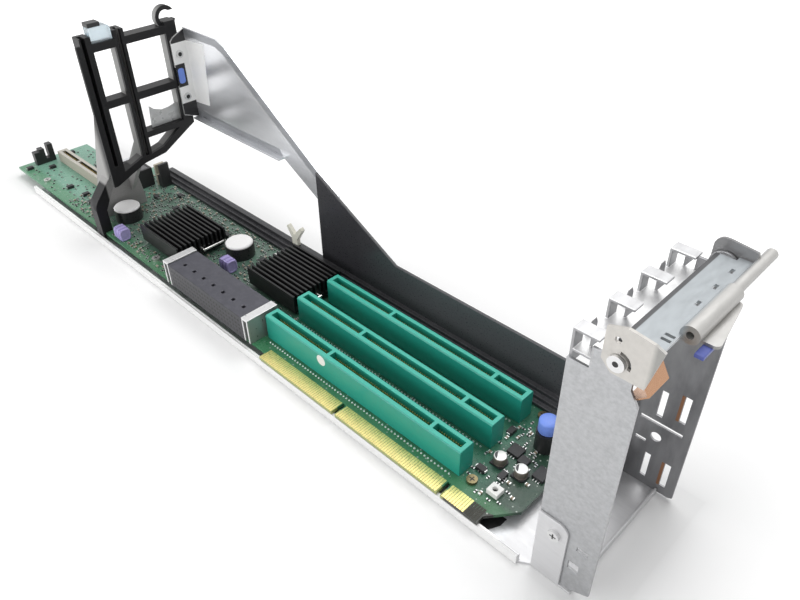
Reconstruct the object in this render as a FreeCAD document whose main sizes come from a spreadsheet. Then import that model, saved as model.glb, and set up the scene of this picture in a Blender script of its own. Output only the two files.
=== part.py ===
import FreeCAD, Part
import math
import os
import Sketcher

# Server riser card lying on its steel tray, as taken out of the chassis.
# X runs along the board towards the slot bracket, Y from the contact edge to the rear wall, Z up.
# The origin is under the middle of the card, on the surface that the tray rests on.

# Driving dimensions in millimetres
DIMENSIONS = {
    # tray and circuit board
    "sheet_gauge": 1.0,
    "standoff_height": 4.4,
    "standoff_radius": 3.0,
    "board_thick": 1.6,
    "board_end": 195.75,
    "board_front": 33.97,
    "tail_depth": 52.0,
    "tail_margin": 2.0,
    "screw_inset": 6.0,
    "tail_screw_inset": 36.0,
    "sink_screw_inset": 22.0,
    "mid_screw_gap": 12.0,
    "slot_screw_gap": 5.2,
    "tail_screw_edge": 5.1,
    "corner_screw_edge": 10.2,
    "rail_screw_edge": 3.0,
    "corner_cut": 12.0,
    "rear_margin": 17.8,
    "lip_gap": 2.0,
    "lip_height": 4.8,
    "tray_setback": 32.0,
    "tray_reach": 17.5,
    "floor_lip": 3.2,
    "screw_head_radius": 2.4,
    "screw_head_height": 1.4,
    "screw_shank_radius": 1.3,
    "screw_hole_radius": 1.7,
    # contact edge of the board
    "contact_margin": 9.6,
    "contact_span": 139.0,
    "contact_reach": 4.0,
    "contact_length": 7.2,
    "contact_pitch": 1.27,
    "contact_width": 1.05,
    "contact_thick": 0.1,
    "key_gap": 2.0,
    "first_key": 54.0,
    "second_key": 118.0,
    # expansion slots
    "slot_margin": 29.0,
    "slot_length": 128.0,
    "slot_width": 8.6,
    "slot_height": 14.4,
    "slot_pitch": 20.32,
    "slot_inset": 12.5,
    "groove_width": 3.6,
    "groove_depth": 9.0,
    "groove_end": 2.0,
    "groove_key": 1.9,
    "key_near": 44.9,
    "key_far": 109.7,
    "slot_bevel": 0.7,
    # backplane connector on the front edge
    "plug_length": 68.0,
    "plug_depth": 19.0,
    "plug_height": 14.0,
    "plug_overhang": 1.4,
    "plug_clearance": 2.0,
    "cavity_side": 2.0,
    "cavity_depth": 3.0,
    "cavity_pitch": 9.0,
    "cavity_inset": 6.8,
    "guide_width": 5.0,
    "guide_rise": 0.8,
    "guide_wall": 1.2,
    # controllers under their heat sinks
    "chip_side": 27.0,
    "chip_height": 2.2,
    "sink_length": 40.0,
    "sink_depth": 33.0,
    "sink_base": 2.5,
    "sink_height": 10.5,
    "sink_gap": 3.0,
    "sink_front_inset": 11.0,
    "sink_rail_gap": 1.0,
    "fin_thick": 1.1,
    "wire_radius": 0.65,
    "wire_overhang": 1.5,
    "wire_reach": 14.0,
    "wire_hook": 5.0,
    # storage capacitors and chokes
    "can_radius": 8.0,
    "can_height": 9.0,
    "can_bevel": 0.6,
    "frame_can_inset": 19.5,
    "can_inset": 44.0,
    "sleeve_wall": 0.4,
    "sleeve_drop": 1.2,
    "fit_clearance": 0.1,
    "choke_length": 8.5,
    "choke_depth": 7.0,
    "choke_height": 8.0,
    "choke_round": 2.0,
    "sink_to_choke": 17.5,
    "choke_inset": 1.0,
    "can_to_choke": 4.5,
    "middle_choke_inset": 26.0,
    "plug_to_sink": 6.8,
    "sink_to_can": 5.0,
    "sink_to_frame_can": 24.5,
    # header and memory socket on the far end
    "header_gap": 14.4,
    "header_length": 22.0,
    "header_depth": 14.0,
    "header_height": 13.0,
    "header_wall": 1.6,
    "socket_gap": 37.0,
    "socket_length": 60.0,
    "socket_width": 7.0,
    "socket_height": 8.0,
    "socket_groove": 2.4,
    "socket_groove_depth": 5.6,
    "socket_end": 3.0,
    "socket_key": 2.0,
    "socket_key_shift": 3.0,
    "socket_margin": 13.0,
    "socket_inset": 25.0,
    "header_to_rail": 8.0,
    "header_floor": 3.0,
    "rail_clip_length": 8.0,
    "rail_clip_depth": 7.0,
    "rail_clip_height": 17.0,
    "rail_clip_floor": 8.0,
    "rail_clip_wall": 2.0,
    "rail_clip_gap": 1.0,
    "edge_clip_start": 10.5,
    "edge_clip_inset": 3.5,
    "edge_clip_length": 5.0,
    "edge_clip_height": 13.0,
    "edge_clip_width": 14.0,
    "edge_clip_prong": 3.9,
    "edge_clip_prong_height": 9.4,
    "edge_clip_middle_height": 11.0,
    "edge_clip_slot": 7.6,
    "edge_clip_slot_width": 2.5,
    "edge_clip_slot_floor": 3.2,
    # rear rail and wall
    "rail_depth": 8.5,
    "rail_step": 2.0,
    "rail_lead": 17.4,
    "wall_thick": 1.5,
    "wall_low": 28.0,
    "wall_high": 60.0,
    "wall_slope_start": 31.0,
    "wall_back": 28.0,
    "wall_past_slots": 20.0,
    "wall_round": 3.0,
    "tie_gap": 7.0,
    "tie_stem": 2.5,
    "tie_height": 14.0,
    "tie_thick": 2.5,
    "tie_neck": 4.2,
    "tie_crotch": 7.0,
    "tie_long_reach": 8.0,
    "tie_short_reach": 6.5,
    "tie_short_height": 11.9,
    "tie_tip": 1.6,
    # card guide frame
    "panel_gap": 1.7,
    "panel_thick": 3.0,
    "panel_height": 23.0,
    "panel_shoulder": 17.0,
    "frame_offset": 21.0,
    "frame_thick": 8.0,
    "frame_top": 115.0,
    "frame_foot": 33.0,
    "bar_height": 4.4,
    "sill_rise": 7.9,
    "cell_rise": 7.5,
    "rear_rise": 2.0,
    "mid_bar": 79.0,
    "low_bar": 55.5,
    "thin_bar": 3.5,
    "front_post": 4.4,
    "groove_wall": 2.0,
    "front_flange": 2.5,
    "post_rise": 4.0,
    "middle_post": 6.2,
    "rear_post": 7.0,
    "rear_post_lead": 7.3,
    "guide_groove": 2.2,
    "guide_depth": 5.0,
    "gusset_thick": 2.5,
    "gusset_top": 80.0,
    "gusset_foot": 12.0,
    "leg_offset": 5.0,
    "leg_width": 8.0,
    "leg_thick": 5.0,
    "leg_bend": 19.0,
    "leg_round": 9.0,
    "tongue_drop": 5.0,
    "tongue_clearance": 0.2,
    "hook_radius": 6.3,
    "hook_thick": 2.4,
    "hook_inset": 2.7,
    "hook_mouth": 3.1,
    "retainer_height": 8.0,
    "retainer_bar": 2.2,
    "retainer_round": 2.5,
    "retainer_inset": 1.0,
    "pad_thick": 1.5,
    # sheet steel stay from the frame to the rear wall
    "stay_low": 58.0,
    "stay_high": 112.0,
    "stay_lap": 16.0,
    "stay_lap_low": 43.0,
    "stay_hem": 4.0,
    "stay_dip": 28.0,
    "stay_lap_lead": 2.0,
    "stay_bend": 41.0,
    "stay_crown": 33.0,
    "stay_crown_drop": 3.0,
    "ear_width": 9.5,
    "ear_notch": 7.0,
    "notch_height": 11.0,
    "ear_screw": 4.0,
    "ear_screw_drop": 7.2,
    "ear_toe": 4.0,
    "ear_shoulder": 4.0,
    "ear_bevel": 2.0,
    "ear_head_radius": 2.2,
    "ear_head_height": 1.2,
    "screw_clearance": 0.2,
    # slot bracket
    "bracket_gap": 14.0,
    "bracket_width": 24.0,
    "divider_offset": 11.0,
    "divider_width": 2.5,
    "window_low": 13.0,
    "window_high": 95.0,
    "shelf_level": 101.0,
    "shelf_depth": 12.0,
    "hook_rise": 7.5,
    "hook_arm": 8.8,
    "hook_width": 5.0,
    "hook_web": 2.9,
    "stop_tab": 5.0,
    "wall_top": 98.0,
    "tab_width": 12.5,
    "tab_top": 26.5,
    "tab_round": 4.0,
    "tab_fold": 4.0,
    "tab_screw_inset": 7.5,
    "tab_screw_drop": 6.5,
    "foot_slot_inset": 16.0,
    "foot_slot_length": 4.5,
    "foot_slot_level": 18.0,
    "foot_slot_height": 2.0,
    "foot_window_inset": 14.0,
    "foot_window_side": 4.2,
    "foot_window_level": 6.0,
    "vent_width": 2.5,
    "vent_height": 13.0,
    "vent_near": 8.7,
    "vent_far": 17.5,
    "vent_upper": 33.0,
    "vent_lower": -1.5,
    "vent_slant": 2.5,
    "slit_inset": 3.0,
    "slit_length": 17.5,
    "slit_level": 28.5,
    "slit_width": 1.5,
    "short_slit_length": 4.5,
    "short_slit_level": 16.8,
    "plate_hole_inset": 11.0,
    "plate_hole_level": 22.0,
    "plate_hole_radius": 2.2,
    # retention latch
    "pivot_inset": 15.9,
    "pivot_level": 106.3,
    "pivot_radius": 1.9,
    "pivot_head": 2.7,
    "pivot_head_thick": 0.8,
    "ear_radius": 5.0,
    "ear_lead": 8.5,
    "hinge_clearance": 0.3,
    "latch_web": 3.7,
    "latch_web_back": 2.7,
    "latch_web_front": 8.9,
    "latch_bridge": 4.0,
    "latch_web_gap": 0.6,
    "latch_hole_radius": 1.1,
    "latch_slot_length": 2.8,
    "latch_hole_start": 29.4,
    "latch_hole_pitch": 11.0,
    "latch_foot": 4.5,
    "front_arm_top": 12.4,
    "rear_arm_top": 9.0,
    "arm_back": 5.0,
    "arm_reach": 12.0,
    "arm_round": 3.5,
    "arc_slot_inner": 3.1,
    "arc_slot_outer": 4.2,
    "arc_slot_start": -15.0,
    "arc_slot_end": 85.0,
    "roll_radius": 3.0,
    "roll_wall": 1.8,
    "roll_start": 15.0,
    "roll_length": 27.0,
    "edge_roll_radius": 2.0,
    "edge_roll_tail": 7.2,
    "handle_reach": 18.6,
    "handle_start": 18.0,
    "handle_width": 24.0,
    "handle_level": 2.2,
    "handle_taper": 4.0,
    "handle_round": 1.8,
    "web_slot": 1.2,
    "spring_gauge": 0.6,
    "spring_width": 11.0,
    "spring_inset": 5.0,
    "spring_drop": 6.0,
    "spring_bow": 2.0,
    "spring_rise": 5.0,
    "spring_tip": 1.0,
    # release plunger and small parts near the bracket
    "plunger_inset": 13.0,
    "plunger_offset": 3.0,
    "collar_radius": 4.9,
    "collar_height": 10.0,
    "stem_radius": 2.3,
    "stem_lift": 0.5,
    "knob_radius": 4.3,
    "knob_height": 7.0,
    "knob_bevel": 1.3,
    "small_can_radius": 2.9,
    "small_can_height": 4.8,
    "near_can_lead": 7.5,
    "near_can_inset": 13.0,
    "far_can_lead": 18.0,
    "far_can_inset": 13.5,
    "small_chip_height": 1.6,
    "square_chip_side": 6.0,
    "square_chip_lead": 6.0,
    "square_chip_setback": 1.0,
    "long_chip_length": 5.5,
    "long_chip_depth": 7.0,
    "long_chip_lead": 21.5,
    "long_chip_inset": 16.0,
    "little_chip_side": 4.5,
    "little_chip_lead": 12.5,
    "little_chip_setback": 2.5,
    "jumper_height": 2.6,
    "jumper_length": 5.5,
    "jumper_depth": 5.0,
    "jumper_lead": 13.0,
    "jumper_setback": 3.0,
    "jumper_bore": 1.2,
    "jumper_bore_depth": 1.8,
}

document = FreeCAD.newDocument("riser_card")
sheet = document.addObject("Spreadsheet::Sheet", "sizes")
for row, (alias, value) in enumerate(DIMENSIONS.items(), start=1):
    sheet.set("A%d" % row, alias)
    sheet.set("B%d" % row, str(value))
    sheet.setAlias("B%d" % row, alias)
document.recompute()


class Size:
    """A length that carries its value together with its formula on the sheet."""

    def __init__(self, value, formula):
        self.value = value
        self.formula = formula

    def __add__(self, other):
        other = as_size(other)
        return Size(self.value + other.value, "(%s + %s)" % (self.formula, other.formula))

    def __sub__(self, other):
        other = as_size(other)
        return Size(self.value - other.value, "(%s - %s)" % (self.formula, other.formula))

    def __mul__(self, other):
        other = as_size(other)
        return Size(self.value * other.value, "(%s * %s)" % (self.formula, other.formula))

    def __truediv__(self, other):
        other = as_size(other)
        return Size(self.value / other.value, "(%s / %s)" % (self.formula, other.formula))

    def __radd__(self, other):
        return as_size(other) + self

    def __rsub__(self, other):
        return as_size(other) - self

    def __rmul__(self, other):
        return as_size(other) * self

    def __neg__(self):
        return as_size(0) - self


def as_size(number):
    return number if isinstance(number, Size) else Size(float(number), "%.4f" % number)


def size(alias):
    return Size(DIMENSIONS[alias], "sizes." + alias)


def bind(thing, name, length):
    length = as_size(length)
    setattr(thing, name, length.value)
    thing.setExpression(name, length.formula)


pieces = []


def piece(thing, label):
    thing.Label = label
    pieces.append(thing)
    return thing


# Solids from outlines

def origin_feature(body, role):
    return [item for item in body.Origin.OriginFeatures if item.Role == role][0]


def new_sketch(body, plane, level):
    sketch = body.newObject("Sketcher::SketchObject", body.Name + "_outline")
    sketch.AttachmentSupport = [(origin_feature(body, plane + "_Plane"), "")]
    sketch.MapMode = "FlatFace"
    level = -as_size(level) if plane == "XZ" else as_size(level)
    sketch.AttachmentOffset = FreeCAD.Placement(FreeCAD.Vector(0, 0, level.value), FreeCAD.Rotation())
    sketch.setExpression("AttachmentOffset.Base.z", level.formula)
    return sketch


def hold_point(sketch, curve, end, point):
    for kind, length in zip(("DistanceX", "DistanceY"), point):
        length = as_size(length)
        index = sketch.addConstraint(Sketcher.Constraint(kind, -1, 1, curve, end, length.value))
        sketch.setExpression("Constraints[%d]" % index, length.formula)


def draw_polygon(sketch, corners):
    first = sketch.GeometryCount
    count = len(corners)
    points = [FreeCAD.Vector(as_size(u).value, as_size(v).value, 0) for u, v in corners]
    for number in range(count):
        sketch.addGeometry(Part.LineSegment(points[number], points[(number + 1) % count]))
    for number in range(count):
        following = first + (number + 1) % count
        sketch.addConstraint(Sketcher.Constraint("Coincident", first + number, 2, following, 1))
        hold_point(sketch, first + number, 1, corners[number])


def draw_circle(sketch, centre, radius):
    middle = FreeCAD.Vector(as_size(centre[0]).value, as_size(centre[1]).value, 0)
    curve = sketch.addGeometry(Part.Circle(middle, FreeCAD.Vector(0, 0, 1), as_size(radius).value))
    hold_point(sketch, curve, 3, centre)
    index = sketch.addConstraint(Sketcher.Constraint("Radius", curve, as_size(radius).value))
    sketch.setExpression("Constraints[%d]" % index, as_size(radius).formula)


def rectangle(u, v):
    return [(u[0], v[0]), (u[1], v[0]), (u[1], v[1]), (u[0], v[1])]


def new_body(label):
    return piece(document.addObject("PartDesign::Body", label), label)


def pad(body, plane, low, high, outlines, bores=()):
    """Material between two levels across a plane, inside the first outline and outside the rest."""
    sketch = new_sketch(body, plane, high if plane == "XZ" else low)
    for corners in outlines:
        draw_polygon(sketch, corners)
    for centre, radius in bores:
        draw_circle(sketch, centre, radius)
    feature = body.newObject("PartDesign::Pad", body.Name + "_pad")
    feature.Profile = sketch
    bind(feature, "Length", as_size(high) - low)
    sketch.Visibility = False
    return feature


def pocket(body, plane, level, depth, outlines, bores=()):
    """A recess that starts at a level and goes against the plane's axis."""
    sketch = new_sketch(body, plane, level)
    for corners in outlines:
        draw_polygon(sketch, corners)
    for centre, radius in bores:
        draw_circle(sketch, centre, radius)
    feature = body.newObject("PartDesign::Pocket", body.Name + "_pocket")
    feature.Profile = sketch
    bind(feature, "Length", depth)
    return feature


def repeat(body, feature, axis, span, count):
    pattern = body.newObject("PartDesign::LinearPattern", body.Name + "_row")
    pattern.Originals = [feature]
    pattern.Direction = (origin_feature(body, axis + "_Axis"), [""])
    bind(pattern, "Length", span)
    pattern.Occurrences = count
    body.Tip = pattern
    return pattern


def round_edges(body, radius, points, kind="Fillet"):
    """Round or bevel the edges whose middles are nearest to the given points."""
    document.recompute()
    before = body.Tip
    shape = before.Shape
    names = []
    for point in points:
        spot = FreeCAD.Vector(*[as_size(value).value for value in point])
        gaps = [edge.CenterOfMass.distanceToPoint(spot) for edge in shape.Edges]
        names.append("Edge%d" % (gaps.index(min(gaps)) + 1))
    feature = body.newObject("PartDesign::" + kind, body.Name + "_" + kind.lower())
    feature.Base = (before, names)
    bind(feature, "Radius" if kind == "Fillet" else "Size", radius)
    body.Tip = feature
    return feature


def bevel_rim(body, level, width):
    """Bevel the closed edges that lie at a level."""
    document.recompute()
    before = body.Tip
    names = ["Edge%d" % index for index, edge in enumerate(before.Shape.Edges, start=1)
             if edge.Closed and abs(edge.CenterOfMass.z - level.value) < 0.01]
    feature = body.newObject("PartDesign::Chamfer", body.Name + "_rim")
    feature.Base = (before, names)
    bind(feature, "Size", width)
    body.Tip = feature
    return feature


def block(label, x, y, z):
    body = new_body(label)
    pad(body, "XY", z[0], z[1], [rectangle(x, y)])
    return body


POST_SIDES = 6
SHANK_SIDES = 8
HEAD_SIDES = 16
FIN_COUNT = 12
ARC_STEPS = 5
TURNS = {
    "X": FreeCAD.Rotation(FreeCAD.Vector(0, 1, 0), 90),
    "Y": FreeCAD.Rotation(FreeCAD.Vector(1, 0, 0), -90),
    "Z": FreeCAD.Rotation(),
}


def set_along(solid, axis, start, length):
    """Stand a round or many-sided solid at a point, along an axis."""
    bind(solid, "Height", length)
    base = [as_size(value) for value in start]
    solid.Placement = FreeCAD.Placement(FreeCAD.Vector(*[value.value for value in base]), TURNS[axis])
    for letter, value in zip("xyz", base):
        solid.setExpression("Placement.Base." + letter, value.formula)
    return solid


def rod(name, axis, start, length, radius):
    solid = document.addObject("Part::Cylinder", name)
    bind(solid, "Radius", radius)
    return set_along(solid, axis, start, length)


def prism(name, axis, start, length, radius, sides):
    solid = document.addObject("Part::Prism", name)
    solid.Polygon = sides
    bind(solid, "Circumradius", radius)
    return set_along(solid, axis, start, length)


def brick(name, x, y, z):
    solid = document.addObject("Part::Box", name)
    for side, span in zip(("Length", "Width", "Height"), (x, y, z)):
        bind(solid, side, as_size(span[1]) - span[0])
    for letter, span in zip("xyz", (x, y, z)):
        solid.setExpression("Placement.Base." + letter, as_size(span[0]).formula)
    return solid


def joined(name, solids):
    fusion = document.addObject("Part::MultiFuse", name)
    fusion.Shapes = solids
    return fusion


def group(label, solids):
    compound = document.addObject("Part::Compound", label)
    compound.Links = solids
    return piece(compound, label)


# Levels and stations that the pieces share

gauge = size("sheet_gauge")
z_under = gauge + size("standoff_height")
z_board = z_under + size("board_thick")


def above(height):
    """Level of a height counted from the top of the board."""
    return z_board + height


can_outer = size("can_radius") + size("fit_clearance") + size("sleeve_wall")
x_end = size("board_end")
x_slots = (x_end - size("slot_margin") - size("slot_length"), x_end - size("slot_margin"))
x_sink_2 = (x_slots[0] - size("sink_gap") - size("sink_length"), x_slots[0] - size("sink_gap"))
x_plug = (x_slots[0] - size("plug_clearance") - size("guide_width") - size("plug_length"),
          x_slots[0] - size("plug_clearance") - size("guide_width"))
x_sink_1 = (x_plug[0] - size("guide_width") - size("plug_to_sink") - size("sink_length"),
            x_plug[0] - size("guide_width") - size("plug_to_sink"))
x_can_2 = x_sink_1[1] + size("sink_to_can") + can_outer
x_can_1 = x_sink_1[0] - size("sink_to_frame_can") - can_outer
x_panel = (x_can_1 - can_outer - size("panel_gap") - size("panel_thick"),
           x_can_1 - can_outer - size("panel_gap"))
x_frame = (x_panel[1] + size("frame_offset"), x_panel[1] + size("frame_offset") + size("frame_thick"))
x_header = (x_panel[0] - size("header_gap") - size("header_length"), x_panel[0] - size("header_gap"))
x_socket = (x_panel[0] - size("socket_gap") - size("socket_length"), x_panel[0] - size("socket_gap"))
x_far = x_socket[0] - size("socket_margin")
x_step = x_header[0] - size("tail_margin")
x_plate = (x_end + size("bracket_gap"), x_end + size("bracket_gap") + gauge)
x_pivot = x_plate[0] + size("pivot_inset")

y_front = -size("board_front")
y_slot = [y_front + size("slot_inset") + number * size("slot_pitch") for number in range(3)]
y_rear = y_slot[2] + size("rear_margin")
y_tail = y_front + size("tail_depth")
y_rail = y_rear - size("rail_depth")
y_divider = [y_slot[0] - size("divider_offset") + number * size("slot_pitch") for number in range(4)]
y_lip = (y_front - size("lip_gap") - gauge, y_front - size("lip_gap"))
y_wall_front = (y_divider[0] - gauge, y_divider[0])
y_wall_rear = (y_divider[3], y_divider[3] + gauge)
z_pivot = above(size("pivot_level"))

board_screws = [
    (x_far + size("tail_screw_inset"), y_front + size("tail_screw_edge")),
    (x_far + size("tail_screw_inset"), y_tail - size("screw_inset")),
    (x_sink_1[0] + size("sink_screw_inset"), y_front + size("screw_inset")),
    (x_sink_2[0] - size("mid_screw_gap"), y_rail - size("screw_inset")),
    (x_slots[1] + size("slot_screw_gap"), y_rail - size("rail_screw_edge")),
    (x_slots[1] + size("slot_screw_gap"), y_front + size("corner_screw_edge")),
]


def make_tray():
    body = new_body("tray")
    x_tray = x_far + size("tray_setback")
    x_tab = x_plate[0] + size("tab_width")
    x_floor = x_plate[0] + size("tray_reach")
    y_tab = (y_wall_front[0] - gauge, y_wall_front[0])
    x_fold = x_plate[0] - size("tab_fold")
    pad(body, "XY", 0, gauge, [[
        (x_tray, y_lip[0]), (x_fold, y_lip[0]), (x_plate[0], y_tab[0]), (x_floor, y_tab[0]),
        (x_floor, y_wall_rear[1]), (x_end, y_rear), (x_tray, y_rear)]])
    pad(body, "XY", 0, size("lip_height"), [rectangle((x_tray, x_fold), y_lip)])
    # the floor of the bracket ends in a small upright lip between the cage walls
    gap = size("hinge_clearance")
    pad(body, "XY", 0, size("floor_lip"),
        [rectangle((x_floor - gauge, x_floor), (y_wall_front[1] + gap, y_wall_rear[0] - gap))])
    z_tab = above(size("tab_top"))
    pad(body, "XZ", y_tab[0], y_tab[1], [rectangle((x_plate[0], x_tab), (0, z_tab))],
        [(tab_screw_spot(), size("screw_hole_radius"))])
    round_edges(body, size("tab_round"), [(x_tab, (y_tab[0] + y_tab[1]) / 2, z_tab)])


def tab_screw_spot():
    return (x_plate[0] + size("tab_screw_inset"), above(size("tab_top") - size("tab_screw_drop")))


def make_board():
    body = new_body("circuit_board")
    x_contact = (x_end - size("contact_margin") - size("contact_span"), x_end - size("contact_margin"))
    y_tip = y_front - size("contact_reach")
    y_key = y_tip + size("contact_length")
    outline = [(x_far, y_front), (x_contact[0], y_front), (x_contact[0], y_tip)]
    for start in ("first_key", "second_key"):
        key = (x_contact[0] + size(start), x_contact[0] + size(start) + size("key_gap"))
        outline += [(key[0], y_tip), (key[0], y_key), (key[1], y_key), (key[1], y_tip)]
    outline += [(x_contact[1], y_tip), (x_contact[1], y_front), (x_end, y_front + size("corner_cut")),
                (x_end, y_rear), (x_step, y_rear), (x_step, y_tail), (x_far, y_tail)]
    pad(body, "XY", z_under, z_board, [outline],
        [(spot, size("screw_hole_radius")) for spot in board_screws])
    contacts = new_body("edge_contacts")
    marks = [as_size(0), size("first_key"), size("second_key"), size("contact_span")]
    for number in range(3):
        low = marks[number] + (size("key_gap") if number else 0)
        count = int((marks[number + 1] - low).value / size("contact_pitch").value)
        lead = (marks[number + 1] - low - (count - 1) * size("contact_pitch") - size("contact_width")) / 2
        x_first = x_contact[0] + low + lead
        strip = rectangle((x_first, x_first + size("contact_width")), (y_tip, y_key))
        finger = pad(contacts, "XY", z_board, z_board + size("contact_thick"), [strip])
        repeat(contacts, finger, "X", (count - 1) * size("contact_pitch"), count)


def make_fasteners():
    posts = []
    screws = []
    for number, (x, y) in enumerate(board_screws):
        posts.append(prism("post_%d" % number, "Z", (x, y, gauge), size("standoff_height"),
                           size("standoff_radius"), POST_SIDES))
        head = prism("head_%d" % number, "Z", (x, y, z_board), size("screw_head_height"),
                     size("screw_head_radius"), HEAD_SIDES)
        shank = prism("shank_%d" % number, "Z", (x, y, z_under), size("board_thick"),
                      size("screw_shank_radius"), SHANK_SIDES)
        screws.append(joined("board_screw_%d" % number, [head, shank]))
    group("standoffs", posts)
    group("board_screws", screws)
    x, z = tab_screw_spot()
    y_tab = y_wall_front[0] - gauge
    head = prism("tab_head", "Y", (x, y_tab - size("screw_head_height"), z), size("screw_head_height"),
                 size("screw_head_radius"), HEAD_SIDES)
    shank = prism("tab_shank", "Y", (x, y_tab, z), gauge, size("screw_shank_radius"), SHANK_SIDES)
    piece(joined("tab_screw", [head, shank]), "tab_screw")


def make_slots():
    for number, y_mid in enumerate(y_slot, start=1):
        body = new_body("slot_connector_%d" % number)
        y_side = (y_mid - size("slot_width") / 2, y_mid + size("slot_width") / 2)
        y_groove = (y_mid - size("groove_width") / 2, y_mid + size("groove_width") / 2)
        z_top = above(size("slot_height"))
        pad(body, "XY", z_board, z_top, [rectangle(x_slots, y_side)])
        stops = [x_slots[0] + size("groove_end")]
        for key in ("key_near", "key_far"):
            stops += [x_slots[0] + size(key) - size("groove_key") / 2,
                      x_slots[0] + size(key) + size("groove_key") / 2]
        stops.append(x_slots[1] - size("groove_end"))
        runs = [rectangle(stops[index:index + 2], y_groove) for index in (0, 2, 4)]
        pocket(body, "XY", z_top, size("groove_depth"), runs)
        x_mid = (x_slots[0] + x_slots[1]) / 2
        round_edges(body, size("slot_bevel"), [(x_mid, y, z_top) for y in y_side], "Chamfer")


def make_backplane_connector():
    y_plug = (y_front - size("plug_overhang"), y_front - size("plug_overhang") + size("plug_depth"))
    guides = {"backplane_guide_right": x_plug[1], "backplane_guide_left": x_plug[0] - size("guide_width")}
    body = new_body("backplane_connector")
    z_top = above(size("plug_height"))
    pad(body, "XY", z_board, z_top, [rectangle(x_plug, y_plug)])
    y_row = y_plug[0] + size("cavity_inset")
    count = int(size("plug_length").value / size("cavity_pitch").value)
    x_first = (x_plug[0] + x_plug[1] - (count - 1) * size("cavity_pitch")) / 2
    half = size("cavity_side") / 2
    cavity = pocket(body, "XY", z_top, size("cavity_depth"),
                    [rectangle((x_first - half, x_first + half), (y_row - half, y_row + half))])
    repeat(body, cavity, "X", (count - 1) * size("cavity_pitch"), count)
    wall = size("guide_wall")
    z_guide = z_top + size("guide_rise")
    for label, x in guides.items():
        guide = new_body(label)
        x_out = x + size("guide_width")
        pad(guide, "XZ", y_plug[0], y_plug[1], [[
            (x, z_board), (x + wall, z_board), (x + wall, z_guide - wall), (x_out - wall, z_guide - wall),
            (x_out - wall, z_board), (x_out, z_board), (x_out, z_guide), (x, z_guide)]])


def make_heat_sink(number, x_sink, y_sink, reach):
    z_chip = above(size("chip_height"))
    x_mid = (x_sink[0] + x_sink[1]) / 2
    y_mid = (y_sink[0] + y_sink[1]) / 2
    half = size("chip_side") / 2
    x_chip = (x_mid - half, x_mid + half)
    y_chip = (y_mid - half, y_mid + half)
    block("controller_%d" % number, x_chip, y_chip, (z_board, z_chip))
    body = new_body("heat_sink_%d" % number)
    z_base = z_chip + size("sink_base")
    pad(body, "XY", z_chip, z_base, [rectangle(x_sink, y_sink)])
    fin = pad(body, "XY", z_base, z_chip + size("sink_height"),
              [rectangle(x_sink, (y_sink[0], y_sink[0] + size("fin_thick")))])
    repeat(body, fin, "Y", size("sink_depth") - size("fin_thick"), FIN_COUNT)
    radius = size("wire_radius")
    z_wire = z_base + radius
    x_wire = (x_sink[0] - size("wire_overhang"), x_sink[1] + size("wire_overhang"))
    y_ends = (y_mid - reach, y_mid + reach)
    name = "clip_%d_" % number
    parts = [prism(name + "run", "X", (x_wire[0] - radius, y_mid, z_wire), x_wire[1] - x_wire[0] + 2 * radius,
                   radius, SHANK_SIDES)]
    arm = reach_length(reach) + 2 * radius
    for index, (x, y) in enumerate(zip(x_wire, y_ends)):
        low = y_mid if y.value > y_mid.value else y
        parts.append(prism(name + "arm%d" % index, "Y", (x, low - radius, z_wire), arm, radius, SHANK_SIDES))
        parts.append(prism(name + "leg%d" % index, "Z", (x, y, z_board), z_wire + radius - z_board, radius,
                           SHANK_SIDES))
    piece(joined("heat_sink_clip_%d" % number, parts), "heat_sink_clip_%d" % number)


def reach_length(reach):
    return reach if reach.value >= 0 else -reach


def make_capacitor(number, x, y):
    can = new_body("capacitor_can_%d" % number)
    z_top = above(size("can_height"))
    pad(can, "XY", z_board, z_top, [], [((x, y), size("can_radius"))])
    sleeve = new_body("capacitor_sleeve_%d" % number)
    inner = size("can_radius") + size("fit_clearance")
    pad(sleeve, "XY", z_board, z_top - size("sleeve_drop"), [], [((x, y), inner), ((x, y), can_outer)])
    bevel_rim(can, z_top, size("can_bevel"))


def make_choke(number, x, y):
    x_side = (x, x + size("choke_length"))
    y_side = (y, y + size("choke_depth"))
    body = block("choke_%d" % number, x_side, y_side, (z_board, above(size("choke_height"))))
    z_mid = z_board + size("choke_height") / 2
    round_edges(body, size("choke_round"), [(px, py, z_mid) for px in x_side for py in y_side])


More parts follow.
